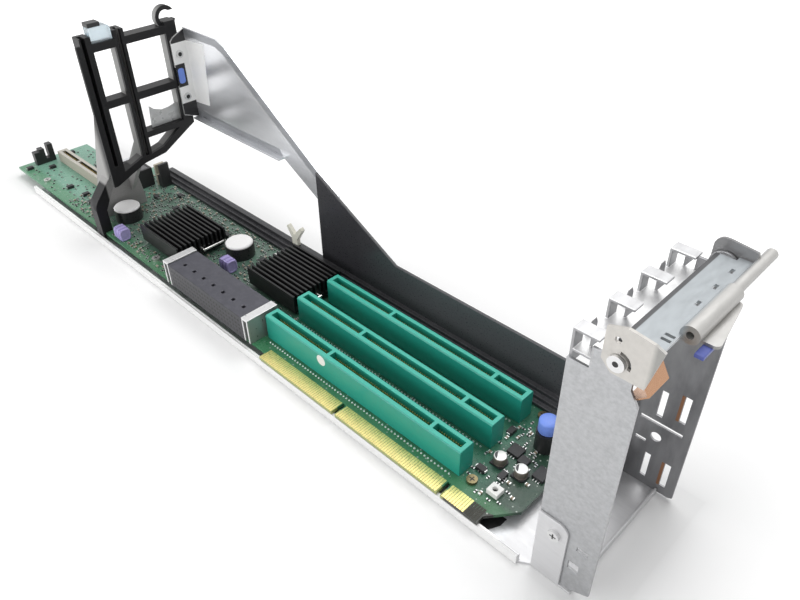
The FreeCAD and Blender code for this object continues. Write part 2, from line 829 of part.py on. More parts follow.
def make_far_end():
    y_header = (y_rail - size("header_to_rail") - size("header_depth"), y_rail - size("header_to_rail"))
    z_top = above(size("header_height"))
    header = block("power_header", x_header, y_header, (z_board, z_top))
    wall = size("header_wall")
    inside = rectangle((x_header[0] + wall, x_header[1] - wall), (y_header[0] + wall, y_header[1] - wall))
    pocket(header, "XY", z_top, size("header_height") - size("header_floor"), [inside])
    rail_clip = new_body("rail_clip")
    x = x_header[1] + size("rail_clip_gap")
    x_clip = (x, x + size("rail_clip_length"))
    y_clip = (y_rail - size("rail_clip_depth"), y_rail)
    floor = above(size("rail_clip_floor"))
    high = above(size("rail_clip_height"))
    wall = size("rail_clip_wall")
    pad(rail_clip, "XZ", y_clip[0], y_clip[1], [[
        (x_clip[0], z_board), (x_clip[1], z_board), (x_clip[1], high), (x_clip[1] - wall, high),
        (x_clip[1] - wall, floor), (x_clip[0] + wall, floor), (x_clip[0] + wall, high - wall),
        (x_clip[0], high - wall)]])
    y_socket = (y_front + size("socket_inset"), y_front + size("socket_inset") + size("socket_width"))
    y_mid = (y_socket[0] + y_socket[1]) / 2
    z_socket = above(size("socket_height"))
    socket = block("memory_socket", x_socket, y_socket, (z_board, z_socket))
    x_mid = (x_socket[0] + x_socket[1]) / 2
    x_key = (x_mid - size("socket_key_shift") - size("socket_key") / 2,
             x_mid - size("socket_key_shift") + size("socket_key") / 2)
    y_groove = (y_mid - size("socket_groove") / 2, y_mid + size("socket_groove") / 2)
    pocket(socket, "XY", z_socket, size("socket_groove_depth"),
           [rectangle((x_socket[0] + size("socket_end"), x_key[0]), y_groove),
            rectangle((x_key[1], x_socket[1] - size("socket_end")), y_groove)])
    clip = new_body("edge_clip")
    x_clip = (x_far + size("edge_clip_inset"), x_far + size("edge_clip_inset") + size("edge_clip_length"))
    y = y_front + size("edge_clip_start")
    y_clip = (y, y + size("edge_clip_width"))
    y_prong = y + size("edge_clip_prong")
    y_gap = (y + size("edge_clip_slot"), y + size("edge_clip_slot") + size("edge_clip_slot_width"))
    high = above(size("edge_clip_height"))
    floor = above(size("edge_clip_slot_floor"))
    middle = above(size("edge_clip_middle_height"))
    short = above(size("edge_clip_prong_height"))
    pad(clip, "YZ", x_clip[0], x_clip[1], [[
        (y_clip[0], z_board), (y_clip[1], z_board), (y_clip[1], high), (y_gap[1], high), (y_gap[1], floor),
        (y_gap[0], floor), (y_gap[0], middle), (y_prong, middle), (y_prong, short), (y_clip[0], short)]])


def wall_stations():
    return (x_slots[0] - size("wall_back"), x_slots[0] + size("wall_slope_start"),
            x_slots[1] + size("wall_past_slots"))


def make_rear_wall():
    body = new_body("rear_wall")
    x_rail = x_panel[0] - size("rail_lead")
    x_back, x_slope, x_wall = wall_stations()
    step = size("rail_step")
    third = (size("rail_depth") - size("wall_thick")) / 3
    pad(body, "YZ", x_rail, x_wall, [[
        (y_rail, z_board), (y_rear, z_board), (y_rear, above(3 * step)),
        (y_rail + 2 * third, above(3 * step)), (y_rail + 2 * third, above(2 * step)),
        (y_rail + third, above(2 * step)), (y_rail + third, above(step)), (y_rail, above(step))]])
    pad(body, "XZ", y_rear - size("wall_thick"), y_rear, [[
        (x_back, z_board), (x_wall, z_board), (x_wall, above(size("wall_low"))),
        (x_slope, above(size("wall_low"))), (x_back, above(size("wall_high")))]])
    y_mid = y_rear - size("wall_thick") / 2
    round_edges(body, size("wall_round"), [(x_wall, y_mid, above(size("wall_low")))])
    tie = new_body("cable_clip")
    x = x_sink_2[0] - size("tie_gap")
    low = above(3 * step)
    high = low + size("tie_height")
    short = low + size("tie_short_height")
    neck = low + size("tie_neck")
    stem = size("tie_stem")
    tip = size("tie_tip")
    x_fork = (x - size("tie_short_reach"), x + size("tie_long_reach"))
    pad(tie, "XZ", y_rear - size("wall_thick") - size("tie_thick"), y_rear - size("wall_thick"), [[
        (x - stem, low), (x + stem, low), (x + stem, neck), (x_fork[1], high - tip), (x_fork[1] - tip, high),
        (x, low + size("tie_crotch")), (x_fork[0] + tip, short), (x_fork[0], short - tip), (x - stem, neck)]])


def frame_posts():
    front = (y_slot[0] - size("groove_wall"), y_slot[0] + size("front_post"))
    half = size("middle_post") / 2
    middle = (y_slot[1] - half, y_slot[1] + half)
    start = y_slot[2] + size("rear_post_lead")
    return front, middle, (start, start + size("rear_post"))


def make_guide_frame():
    body = new_body("guide_frame")
    front, middle, rear = frame_posts()
    top = above(size("frame_top"))
    rise = size("post_rise")
    bar = size("bar_height")
    foot = above(size("frame_foot"))
    sill = foot + size("sill_rise")
    rear_rise = size("rear_rise")
    mid = (above(size("mid_bar")), above(size("mid_bar") + bar))
    low = (above(size("low_bar")), above(size("low_bar") + size("thin_bar")))
    knee = (middle[1] + rear[0]) / 2 - size("thin_bar")
    outline = [
        (front[0], foot), (front[0], top + rise), (front[1], top + rise), (front[1], top),
        (middle[0], top), (middle[0], top + bar), (middle[1], top + bar), (middle[1], top),
        (rear[0], top), (rear[0], top + rear_rise), (rear[1], top + rear_rise), (rear[1], low[0]),
        (knee, sill + rear_rise), (middle[0], sill)]
    cells = [
        rectangle((front[1], middle[0]), (mid[1], top - bar)),
        rectangle((middle[1], rear[0]), (mid[1], top - bar)),
        [(front[1], foot + size("cell_rise")), (middle[0], sill + bar), (middle[0], mid[0]),
         (front[1], mid[0])],
        rectangle((middle[1], rear[0]), (low[1], mid[0])),
        [(middle[1], sill + bar), (knee, sill + rear_rise + bar), (rear[0] - size("thin_bar"), low[0]),
         (middle[1], low[0])]]
    pad(body, "YZ", x_frame[0], x_frame[1], [outline] + cells)
    # the thin flange closes the front card groove
    pad(body, "YZ", x_frame[1] - size("groove_wall"), x_frame[1],
        [rectangle((front[0] - size("front_flange"), front[0]), (foot, top))])
    groove = size("guide_groove") / 2
    pocket(body, "YZ", x_frame[1], size("guide_depth"),
           [rectangle((y - groove, y + groove), (sill + bar, end))
            for y, end in ((y_slot[0], top + rise), (y_slot[1], top + bar))])
    # gussets lead from the posts down to the panel that stands on the board
    shoulder = above(size("panel_shoulder"))
    panel_foot = above(size("gusset_foot"))
    overlap = x_frame[0] + size("groove_wall")
    for start, peak in ((front[0], above(size("gusset_top"))), (middle[0], above(size("low_bar")))):
        pad(body, "XZ", start, start + size("gusset_thick"), [[
            (overlap, peak), (x_panel[0], above(size("panel_height"))), (x_panel[0], panel_foot),
            (x_panel[1], panel_foot), (overlap, sill)]])
    panel_top = above(size("panel_height"))
    pad(body, "YZ", x_panel[0], x_panel[1], [[
        (front[0], z_board), (middle[1] + bar / 2, z_board), (middle[1] + bar / 2, z_board + bar),
        (middle[1], panel_top), (middle[0], panel_top), (front[0], shoulder)]])
    # the curved leg comes down over the front edge of the board and its tongue hooks over it
    x_leg = (x_frame[0] - size("leg_offset") - size("leg_width"), x_frame[0] - size("leg_offset"))
    y_tongue = (y_front - size("lip_gap") + size("tongue_clearance"), y_front - size("tongue_clearance"))
    bend = above(size("leg_bend"))
    pad(body, "YZ", x_leg[0], x_leg[1], [[
        (y_tongue[0], z_board - size("tongue_drop")), (y_tongue[1], z_board - size("tongue_drop")),
        (y_tongue[1], z_board), (y_tongue[1] + size("leg_thick"), z_board),
        (y_tongue[1] + size("leg_thick"), bend - size("leg_thick")),
        (front[0] + size("gusset_thick"), foot - bar), (front[0] + size("gusset_thick"), foot),
        (front[0], foot), (y_tongue[0], bend)]])
    x_mid = (x_leg[0] + x_leg[1]) / 2
    round_edges(body, size("leg_round"), [(x_mid, y_tongue[0], bend)])
    hook = (rear[0] + size("hook_inset"), top + size("hook_radius") - size("hook_thick"))
    inner = size("hook_radius") - size("hook_thick")
    x_hook = (x_frame[0] + size("groove_wall"), x_frame[1] - size("groove_wall"))
    pad(body, "YZ", x_hook[0], x_hook[1], [], [(hook, size("hook_radius")), (hook, inner)])
    pocket(body, "YZ", x_frame[1], size("frame_thick"),
           [rectangle((hook[0], hook[0] + 2 * size("hook_radius")),
                      (top + rear_rise, hook[1] + size("hook_mouth")))])


def make_frame_fittings():
    front, middle, rear = frame_posts()
    top = above(size("frame_top"))
    x_side = (x_frame[0] + size("retainer_inset"), x_frame[1] - size("retainer_inset"))
    y_clear = (front[1] + size("hinge_clearance"), middle[0] - size("hinge_clearance"))
    z_clear = top + size("retainer_height")
    clear = block("card_retainer", x_side, y_clear, (top, z_clear))
    x_mid = (x_side[0] + x_side[1]) / 2
    round_edges(clear, size("retainer_round"), [(x_mid, y_clear[1], z_clear)])
    block("retainer_bar", x_side, (y_clear[0], y_clear[1] - 2 * size("retainer_round")),
          (z_clear, z_clear + size("retainer_bar")))
    x_ear = (x_frame[1], x_frame[1] + gauge)
    y_ear = (y_rear - size("ear_width"), y_rear - size("ear_width") + size("ear_notch"))
    z_notch = (above(size("mid_bar")) + gauge, above(size("mid_bar") + size("notch_height")) + gauge)
    pad_body = new_body("frame_touch_pad")
    y_pad = (y_ear[0] + gauge, rear[1] - gauge)
    z_pad = (z_notch[0] + gauge, z_notch[1] - gauge)
    pad(pad_body, "YZ", x_frame[1], x_frame[1] + size("pad_thick"), [rectangle(y_pad, z_pad)])
    x_pad = x_frame[1] + size("pad_thick") / 2
    round_edges(pad_body, size("pad_thick"), [(x_pad, y, z) for y in y_pad for z in z_pad])
    drop = size("ear_screw_drop")
    y_screw = y_ear[0] + size("ear_screw")
    screw_spots = [(y_screw, z_notch[0] - drop), (y_screw, z_notch[1] + drop)]
    make_stay(x_ear, y_ear, z_notch, screw_spots)


def make_stay(x_ear, y_ear, z_notch, screw_spots):
    stay = new_body("stay")
    x_back, x_slope, x_wall = wall_stations()
    slope = (size("wall_high") - size("wall_low")) / (x_slope - x_back)
    lap = size("stay_lap")
    high = above(size("stay_high"))
    low = above(size("stay_low"))
    x_dip = x_back - size("stay_dip")
    z_lap = above(size("stay_lap_low"))
    pad(stay, "XZ", y_rear, y_rear + gauge, [[
        (x_ear[0], low), (x_dip, low), (x_back - size("stay_lap_lead"), z_lap), (x_back + lap, z_lap),
        (x_back + lap, above(size("wall_high") - slope * lap)), (x_back, above(size("wall_high"))),
        (x_ear[0] + size("stay_bend"), high - size("stay_crown_drop")), (x_ear[0] + size("stay_crown"), high),
        (x_ear[0], high)]])
    shoulder = high - size("ear_shoulder")
    bevel = size("ear_bevel")
    hole = size("screw_shank_radius") + size("screw_clearance")
    pad(stay, "YZ", x_ear[0], x_ear[1], [[
        (y_ear[0], low + size("ear_toe")), (y_rear + gauge, low), (y_rear + gauge, high),
        (y_ear[0] + bevel, shoulder), (y_ear[0], shoulder - bevel), (y_ear[0], z_notch[1]),
        (y_ear[1], z_notch[1]), (y_ear[1], z_notch[0]), (y_ear[0], z_notch[0])]],
        [(spot, hole) for spot in screw_spots])
    y_hem = (y_rear - size("stay_hem"), y_rear + gauge)
    pad(stay, "XY", low, low + gauge, [rectangle((x_ear[1], x_dip), y_hem)])
    screws = []
    for number, (y, z) in enumerate(screw_spots):
        head = prism("stay_head_%d" % number, "X", (x_ear[1], y, z), size("ear_head_height"),
                     size("ear_head_radius"), HEAD_SIDES)
        shank = prism("stay_shank_%d" % number, "X", (x_ear[0], y, z), gauge, size("screw_shank_radius"),
                      SHANK_SIDES)
        screws.append(joined("stay_screw_%d" % number, [head, shank]))
    group("stay_screws", screws)


def make_slot_plate():
    body = new_body("slot_plate")
    shelf = above(size("shelf_level"))
    rim = size("divider_width")
    windows = [rectangle((y_divider[number] + rim, y_divider[number + 1] - rim),
                         (above(size("window_low")), above(size("window_high")))) for number in range(3)]
    y_plate = (y_divider[0], y_divider[3])
    pad(body, "YZ", x_plate[0], x_plate[1], [rectangle(y_plate, (gauge, shelf))] + windows)
    pad(body, "XY", shelf - gauge, shelf,
        [rectangle((x_plate[0], x_plate[1] + size("shelf_depth")), y_plate)])
    y_hook = (y_divider[0], y_divider[0] + size("hook_width"))
    z_hook = shelf + size("hook_rise")
    x_arm = x_plate[0] + size("hook_arm")
    span = 3 * size("slot_pitch") - size("hook_width")
    leg = pad(body, "YZ", x_plate[0], x_plate[1], [rectangle(y_hook, (shelf - gauge, z_hook))])
    repeat(body, leg, "Y", span, 4)
    arm = pad(body, "XY", z_hook - gauge, z_hook, [rectangle((x_plate[0], x_arm), y_hook)])
    repeat(body, arm, "Y", span, 4)
    x_web = x_plate[1] + size("hook_web")
    web = pad(body, "XZ", y_hook[1] - gauge, y_hook[1],
              [[(x_web, shelf - gauge), (x_arm, z_hook), (x_web, z_hook)]])
    repeat(body, web, "Y", span, 4)
    y_mid = (y_divider[0] + y_divider[1]) / 2
    wide = size("stop_tab") / 2
    stop = pad(body, "YZ", x_plate[0], x_plate[1], [[
        (y_mid - wide, shelf - gauge), (y_mid + wide, shelf - gauge), (y_mid + wide, shelf + wide),
        (y_mid + wide / 2, shelf + 2 * wide), (y_mid - wide / 2, shelf + 2 * wide),
        (y_mid - wide, shelf + wide)]])
    repeat(body, stop, "Y", 2 * size("slot_pitch"), 3)


def wall_outline(cut):
    """Outline of a cage wall with its pivot ear; the lower outer corner is cut off by a length."""
    x_out = x_plate[0] + size("bracket_width")
    top = above(size("wall_top"))
    ear = size("ear_radius")
    lead = x_pivot - size("ear_lead")
    return [(x_plate[0], gauge), (x_out - 2 * cut, gauge), (x_out, gauge + cut), (x_out, top - ear),
            (x_pivot + ear, top), (x_pivot + ear, z_pivot + ear), (x_pivot - ear, z_pivot + ear),
            (x_pivot - ear, z_pivot - size("hinge_clearance")), (lead, z_pivot - size("hinge_clearance")),
            (lead, top), (x_plate[0], top)]


def round_ear(body, y_side):
    ear = size("ear_radius")
    y_mid = (y_side[0] + y_side[1]) / 2
    corners = [(x_pivot + turn * ear, y_mid, z_pivot + ear) for turn in (-1, 1)]
    round_edges(body, ear - size("fit_clearance"), corners)


def wall_cut(inset, length, level, height):
    """A square-cornered opening in a cage wall."""
    x = x_plate[0] + size(inset)
    return rectangle((x, x + size(length)), (above(level), above(level + size(height))))


def make_bracket_walls():
    bore = ((x_pivot, z_pivot), size("pivot_radius") + size("fit_clearance"))
    screw = (tab_screw_spot(), size("screw_hole_radius"))
    front = new_body("bracket_front_wall")
    side = "foot_window_side"
    openings = [
        wall_cut("foot_slot_inset", "foot_slot_length", size("foot_slot_level"), "foot_slot_height"),
        wall_cut("foot_window_inset", side, size("foot_window_level"), side)]
    pad(front, "XZ", y_wall_front[0], y_wall_front[1], [wall_outline(size("tab_round"))] + openings,
        [bore, screw])
    round_ear(front, y_wall_front)
    rear = new_body("bracket_rear_wall")
    upper = size("vent_upper")
    vents = []
    for inset, level in (("vent_near", upper), ("vent_far", upper + size("vent_slant"))):
        vents.append(wall_cut(inset, "vent_width", level, "vent_height"))
        vents.append(wall_cut(inset, "vent_width", size("vent_lower"), "vent_height"))
    vents.append(wall_cut("slit_inset", "slit_length", size("slit_level"), "slit_width"))
    vents.append(wall_cut("slit_inset", "short_slit_length", size("short_slit_level"), "slit_width"))
    hole = (x_plate[0] + size("plate_hole_inset"), above(size("plate_hole_level")))
    pad(rear, "XZ", y_wall_rear[0], y_wall_rear[1], [wall_outline(gauge)] + vents,
        [bore, (hole, size("plate_hole_radius"))])
    round_ear(rear, y_wall_rear)


def arc_slot(centre, inner, outer, start, end):
    """Corners of a slot that follows a circle between two angles in degrees."""
    steps = [math.radians(start + (end - start) * number / ARC_STEPS) for number in range(ARC_STEPS + 1)]
    corners = []
    for radius, turns in ((inner, steps), (outer, reversed(steps))):
        for turn in turns:
            corners.append((centre[0] + radius * math.cos(turn), centre[1] + radius * math.sin(turn)))
    return corners


def make_latch():
    gap = size("hinge_clearance")
    y_front_arm = (y_wall_front[0] - gap - gauge, y_wall_front[0] - gap)
    y_rear_arm = (y_wall_rear[1] + gap, y_wall_rear[1] + gap + gauge)
    web = (z_pivot + size("latch_web"), z_pivot + size("latch_web") + gauge)
    foot = z_pivot - size("latch_foot")
    back = x_pivot - size("arm_back")
    reach = x_pivot + size("arm_reach")
    edge = x_pivot + size("latch_web_front")
    y_roll = y_divider[0] + size("roll_start")
    pin_hole = ((x_pivot, z_pivot), size("pivot_radius") + gap)
    body = document.addObject("PartDesign::Body", "latch_sheet")
    top = z_pivot + size("front_arm_top")
    slot = arc_slot((x_pivot, z_pivot), size("arc_slot_inner"), size("arc_slot_outer"),
                    DIMENSIONS["arc_slot_start"], DIMENSIONS["arc_slot_end"])
    small_hole = ((x_pivot - gauge, top - size("arm_back")), size("latch_hole_radius"))
    pad(body, "XZ", y_front_arm[0], y_front_arm[1], [[
        (back, foot + size("arm_round")), (back + size("arm_round"), foot), (edge, foot),
        (reach, top - size("latch_foot") / 2), (edge, top - gauge), (x_pivot + gauge, top),
        (back, top - size("latch_foot") / 2)], slot], [pin_hole, small_hole])
    top = z_pivot + size("rear_arm_top")
    pad(body, "XZ", y_rear_arm[0], y_rear_arm[1], [[
        (back, foot), (edge, foot), (edge + gauge, web[1]), (edge, top - gauge), (x_pivot, top),
        (back, top)]], [pin_hole])
    # the web spans the cage and reaches the arms over the walls
    pad(body, "XY", web[0], web[1],
        [rectangle((x_pivot + size("latch_bridge"), edge), (y_front_arm[0], y_rear_arm[1]))])
    inside = (y_divider[0] + size("latch_web_gap") + size("pivot_head_thick"),
              y_divider[3] - size("latch_web_gap") - size("pivot_head_thick"))
    pad(body, "XY", web[0], web[1], [rectangle((x_pivot - size("latch_web_back"), edge), inside)])
    narrow = size("web_slot")
    x_short = (edge - 3 * narrow, edge - narrow / 2)
    slots = [rectangle(x_short, (y_roll - turn * narrow, y_roll - (turn - 1) * narrow)) for turn in (3, 5)]
    x_long = (edge - size("latch_bridge"), edge - size("latch_bridge") + narrow)
    for number in range(3):
        y = y_divider[0] + size("latch_hole_start") + number * size("latch_hole_pitch")
        slots.append(rectangle(x_long, (y, y + size("latch_slot_length"))))
    pocket(body, "XY", web[1], gauge, slots)
    round_edges(body, size("arm_round"), [(back, (y_rear_arm[0] + y_rear_arm[1]) / 2, top)])
    # rolled edge, finger roll and tapered lip
    radius = size("roll_radius")
    x_roll = edge + radius - gauge
    z_roll = web[1] + size("spring_gauge")
    level = z_pivot + size("handle_level")
    lip = (y_divider[0] + size("handle_start"), y_divider[0] + size("handle_start") + size("handle_width"))
    x_lip = x_pivot + size("handle_reach")
    lip_body = document.addObject("PartDesign::Body", "latch_lip")
    x_taper = x_lip - size("handle_taper")
    pad(lip_body, "XY", level, level + gauge,
        [[(x_roll, lip[0]), (x_lip, lip[0]), (x_taper, lip[1]), (x_roll, lip[1])]])
    round_edges(lip_body, size("handle_round"),
                [(x_lip, lip[0], level + gauge / 2), (x_taper, lip[1], level + gauge / 2)])
    roll = rod("latch_roll", "Y", (x_roll, y_roll, z_roll), size("roll_length"), radius)
    bore = rod("latch_roll_bore", "Y", (x_roll, y_roll, z_roll), size("roll_length"),
               radius - size("roll_wall"))
    tube = document.addObject("Part::Cut", "latch_roll_tube")
    tube.Base = roll
    tube.Tool = bore
    small = size("edge_roll_radius")
    y_tail = y_rear_arm[1] + size("edge_roll_tail")
    hem = rod("latch_edge", "Y", (edge + small - gauge / 2, y_roll + size("roll_length"), web[1]),
              y_tail - y_roll - size("roll_length"), small)
    piece(joined("retention_latch", [body, lip_body, tube, hem]), "retention_latch")
    block("latch_touch_pad", (x_roll + radius, x_lip - size("handle_round")),
          (lip[0] - size("arm_back"), lip[0] + 2 * gauge), (level - size("pad_thick"), level))
    pins = []
    head = size("pivot_head_thick")
    spans = [(y_front_arm[0] - gap - head, y_divider[0], -1), (y_divider[3], y_rear_arm[1] + gap + head, 1)]
    for number, (low, high, side) in enumerate(spans):
        stem_low, stem_high = (low, high + head) if side < 0 else (low - head, high)
        y_outer, y_inner = (low, high) if side < 0 else (high - head, low - head)
        stem = rod("pivot_stem_%d" % number, "Y", (x_pivot, stem_low, z_pivot), stem_high - stem_low,
                   size("pivot_radius"))
        outer = rod("pivot_outer_%d" % number, "Y", (x_pivot, y_outer, z_pivot), head, size("pivot_head"))
        inner = prism("pivot_inner_%d" % number, "Y", (x_pivot, y_inner, z_pivot), head, size("pivot_head"),
                      POST_SIDES)
        pins.append(joined("pivot_%d" % number, [stem, outer, inner]))
    group("latch_pivots", pins)


def make_ground_spring():
    """A bent bronze leaf fixed to the inside of the front cage wall."""
    spring = new_body("ground_spring")
    x = x_plate[0] + size("bracket_width")
    x_foot = x - size("spring_inset")
    x_bow = x + size("spring_bow")
    x_tip = x - size("spring_tip")
    z = above(size("wall_top"))
    low = z - size("spring_drop")
    high = z + size("spring_rise")
    thick = size("spring_gauge")
    pad(spring, "XZ", y_divider[0], y_divider[0] + size("spring_width"), [[
        (x_foot, low), (x_foot + thick, low), (x_bow, z), (x_tip, high), (x_tip - thick, high),
        (x_bow - thick, z)]])


def make_plunger():
    spot = (x_end - size("plunger_inset"), (y_slot[1] + y_slot[2]) / 2 + size("plunger_offset"))
    collar = new_body("plunger_collar")
    z_collar = above(size("collar_height"))
    bore = size("stem_radius") + size("hinge_clearance")
    pad(collar, "XY", z_board, z_collar, [], [(spot, size("collar_radius")), (spot, bore)])
    knob = new_body("plunger_knob")
    z_head = z_collar + size("hinge_clearance")
    z_top = z_head + size("knob_height")
    pad(knob, "XY", z_head, z_top, [], [(spot, size("knob_radius"))])
    pad(knob, "XY", above(size("stem_lift")), z_head, [], [(spot, size("stem_radius"))])
    bevel_rim(knob, z_top, size("knob_bevel"))


def make_small_parts():
    x = x_slots[1]
    spots = [(x + size("near_can_lead"), y_slot[0] + size("near_can_inset")),
             (x + size("far_can_lead"), y_slot[0] + size("far_can_inset"))]
    group("small_capacitors", [
        rod("small_can_%d" % number, "Z", (u, v, z_board), size("small_can_height"), size("small_can_radius"))
        for number, (u, v) in enumerate(spots)])
    corners = [
        (x + size("square_chip_lead"), y_slot[1] - size("square_chip_setback")),
        (x + size("long_chip_lead"), y_slot[0] + size("long_chip_inset")),
        (x + size("little_chip_lead"), y_slot[1] - size("little_chip_setback"))]
    spans = [
        (size("square_chip_side"), size("square_chip_side")),
        (size("long_chip_length"), size("long_chip_depth")),
        (size("little_chip_side"), size("little_chip_side"))]
    z_chip = (z_board, above(size("small_chip_height")))
    chips = []
    for number, ((u, v), (length, depth)) in enumerate(zip(corners, spans)):
        chips.append(brick("small_chip_%d" % number, (u, u + length), (v, v + depth), z_chip))
    group("small_chips", chips)
    x_jumper = (x + size("jumper_lead"), x + size("jumper_lead") + size("jumper_length"))
    y_jumper = (y_slot[0] - size("jumper_setback"), y_slot[0] - size("jumper_setback") + size("jumper_depth"))
    z_jumper = above(size("jumper_height"))
    jumper = block("jumper_block", x_jumper, y_jumper, (z_board, z_jumper))
    middle = ((x_jumper[0] + x_jumper[1]) / 2, (y_jumper[0] + y_jumper[1]) / 2)
    pocket(jumper, "XY", z_jumper, size("jumper_bore_depth"), [], [(middle, size("jumper_bore"))])


make_tray()
make_board()
make_fasteners()
make_slots()
make_backplane_connector()
y_sink_1 = (y_front + size("sink_front_inset"), y_front + size("sink_front_inset") + size("sink_depth"))
y_sink_2 = (y_rail - size("sink_rail_gap") - size("sink_depth"), y_rail - size("sink_rail_gap"))
make_heat_sink(1, x_sink_1, y_sink_1, size("wire_reach"))
make_heat_sink(2, x_sink_2, y_sink_2, -size("wire_hook"))
make_capacitor(1, x_can_1, y_front + size("frame_can_inset"))
make_capacitor(2, x_can_2, y_front + size("can_inset"))
make_choke(1, x_sink_1[0] - size("sink_to_choke"), y_front + size("choke_inset"))
make_choke(2, x_can_2 + size("can_to_choke"), y_front + size("middle_choke_inset"))
make_far_end()
make_rear_wall()
make_guide_frame()
make_frame_fittings()
make_slot_plate()
make_bracket_walls()
make_latch()
make_ground_spring()
make_plunger()
make_small_parts()

document.recompute()
for item in document.Objects:
    if {"Invalid", "Error"} & set(item.State):
        raise RuntimeError("failed: %s %s" % (item.Label, item.State))
for item in pieces:
    if item.Shape.isNull() or not item.Shape.isValid():
        raise RuntimeError("bad shape: " + item.Label)

os.makedirs("parts", exist_ok=True)
for item in pieces:
    item.Shape.exportStep("parts/%s.step" % item.Label)
box = FreeCAD.BoundBox()
for item in pieces:
    box.add(item.Shape.BoundBox)
print("pieces", len(pieces))
print("x %.2f to %.2f, y %.2f to %.2f, z %.2f to %.2f" % (
    box.XMin, box.XMax, box.YMin, box.YMax, box.ZMin, box.ZMax))
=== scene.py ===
import math
import bmesh
import bpy
from mathutils import Matrix, Vector


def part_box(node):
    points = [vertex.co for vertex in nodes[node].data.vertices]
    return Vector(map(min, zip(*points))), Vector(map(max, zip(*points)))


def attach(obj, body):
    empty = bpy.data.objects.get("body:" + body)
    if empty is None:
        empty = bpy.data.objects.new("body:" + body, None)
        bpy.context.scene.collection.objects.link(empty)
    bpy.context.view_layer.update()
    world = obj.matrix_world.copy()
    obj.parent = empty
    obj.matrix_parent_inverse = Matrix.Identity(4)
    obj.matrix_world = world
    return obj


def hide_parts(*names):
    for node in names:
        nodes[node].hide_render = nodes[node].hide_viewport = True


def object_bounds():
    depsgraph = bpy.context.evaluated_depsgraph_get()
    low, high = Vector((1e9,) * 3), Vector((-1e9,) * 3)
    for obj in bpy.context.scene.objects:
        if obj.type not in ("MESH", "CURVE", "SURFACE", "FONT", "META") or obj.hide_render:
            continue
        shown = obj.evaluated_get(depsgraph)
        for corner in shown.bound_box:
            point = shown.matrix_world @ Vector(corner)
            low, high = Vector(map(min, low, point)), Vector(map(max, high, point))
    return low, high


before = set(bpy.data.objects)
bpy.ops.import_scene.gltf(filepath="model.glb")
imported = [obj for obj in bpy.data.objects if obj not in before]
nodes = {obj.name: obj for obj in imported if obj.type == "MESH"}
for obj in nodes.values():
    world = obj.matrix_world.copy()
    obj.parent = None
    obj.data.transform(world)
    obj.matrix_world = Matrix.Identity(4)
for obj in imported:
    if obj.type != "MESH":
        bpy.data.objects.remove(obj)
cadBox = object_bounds()
scene = bpy.context.scene
scene.view_settings.view_transform = "Standard"
mm = 0.001
# lowest and highest corner of each node, in millimetres
corner = {name: [[value / mm for value in point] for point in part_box(name)] for name in nodes}
print("frame loaded,", len(nodes), "nodes")


# node helpers: a socket takes a link or a plain value

def isSocket(value):
    return isinstance(value, bpy.types.NodeSocket)


def feed(tree, socket, value):
    if isSocket(value):
        tree.links.new(value, socket)
    else:
        socket.default_value = value


def feedAll(tree, sockets, values):
    for key, value in values.items():
        feed(tree, sockets[key], value)


def setAll(item, **settings):
    for key, value in settings.items():
        setattr(item, key, value)
    return item


def addNode(tree, kind, values=None, **settings):
    made = setAll(tree.nodes.new(kind), **settings)
    feedAll(tree, made.inputs, values or {})
    return made


def mathNode(tree, operation, first, second, clamp=False):
    values = {0: first, 1: second}
    return addNode(tree, "ShaderNodeMath", values, operation=operation, use_clamp=clamp).outputs[0]


def vectorNode(tree, operation, first, second=(0, 0, 0)):
    made = addNode(tree, "ShaderNodeVectorMath", {0: first, 1: second}, operation=operation)
    return made.outputs["Value" if operation in ("DOT_PRODUCT", "LENGTH") else "Vector"]


def vectorOf(tree, **parts):
    return addNode(tree, "ShaderNodeCombineXYZ", parts).outputs[0]


def mixColour(tree, factor, *colours):
    made = addNode(tree, "ShaderNodeMix", {0: factor}, data_type="RGBA")
    for index, colour in zip((6, 7), colours):
        feed(tree, made.inputs[index], colour if isSocket(colour) else (*colour, 1))
    return made.outputs[2]


def rangeNode(tree, value, fromLow, fromHigh, toLow, toHigh):
    values = dict(enumerate((value, fromLow, fromHigh, toLow, toHigh)))
    return addNode(tree, "ShaderNodeMapRange", values).outputs[0]


def objectPlace(tree):
    return addNode(tree, "ShaderNodeTexCoord").outputs["Object"]


def surfaceNormal(tree):
    return addNode(tree, "ShaderNodeNewGeometry").outputs["Normal"]


def upShare(tree):
    return addNode(tree, "ShaderNodeSeparateXYZ", {0: surfaceNormal(tree)}).outputs["Z"]


def noiseNode(tree, place, scale, detail, rough=0.5):
    return addNode(tree, "ShaderNodeTexNoise", {
        "Vector": place, "Scale": scale, "Detail": detail, "Roughness": rough}).outputs["Fac"]


def shaderGroup(name, inputs, outputs):
    tree = bpy.data.node_groups.new(name, "ShaderNodeTree")
    for title, value in inputs.items():
        kind = "Float" if isinstance(value, float) else "Color" if len(value) == 4 else "Vector"
        socket = tree.interface.new_socket(name=title, in_out="INPUT", socket_type="NodeSocket" + kind)
        socket.default_value = value
    for title, kind in outputs.items():
        tree.interface.new_socket(name=title, in_out="OUTPUT", socket_type="NodeSocket" + kind)
    return tree, addNode(tree, "NodeGroupInput").outputs, addNode(tree, "NodeGroupOutput").inputs


midGrey = (0.5, 0.5, 0.5, 1)


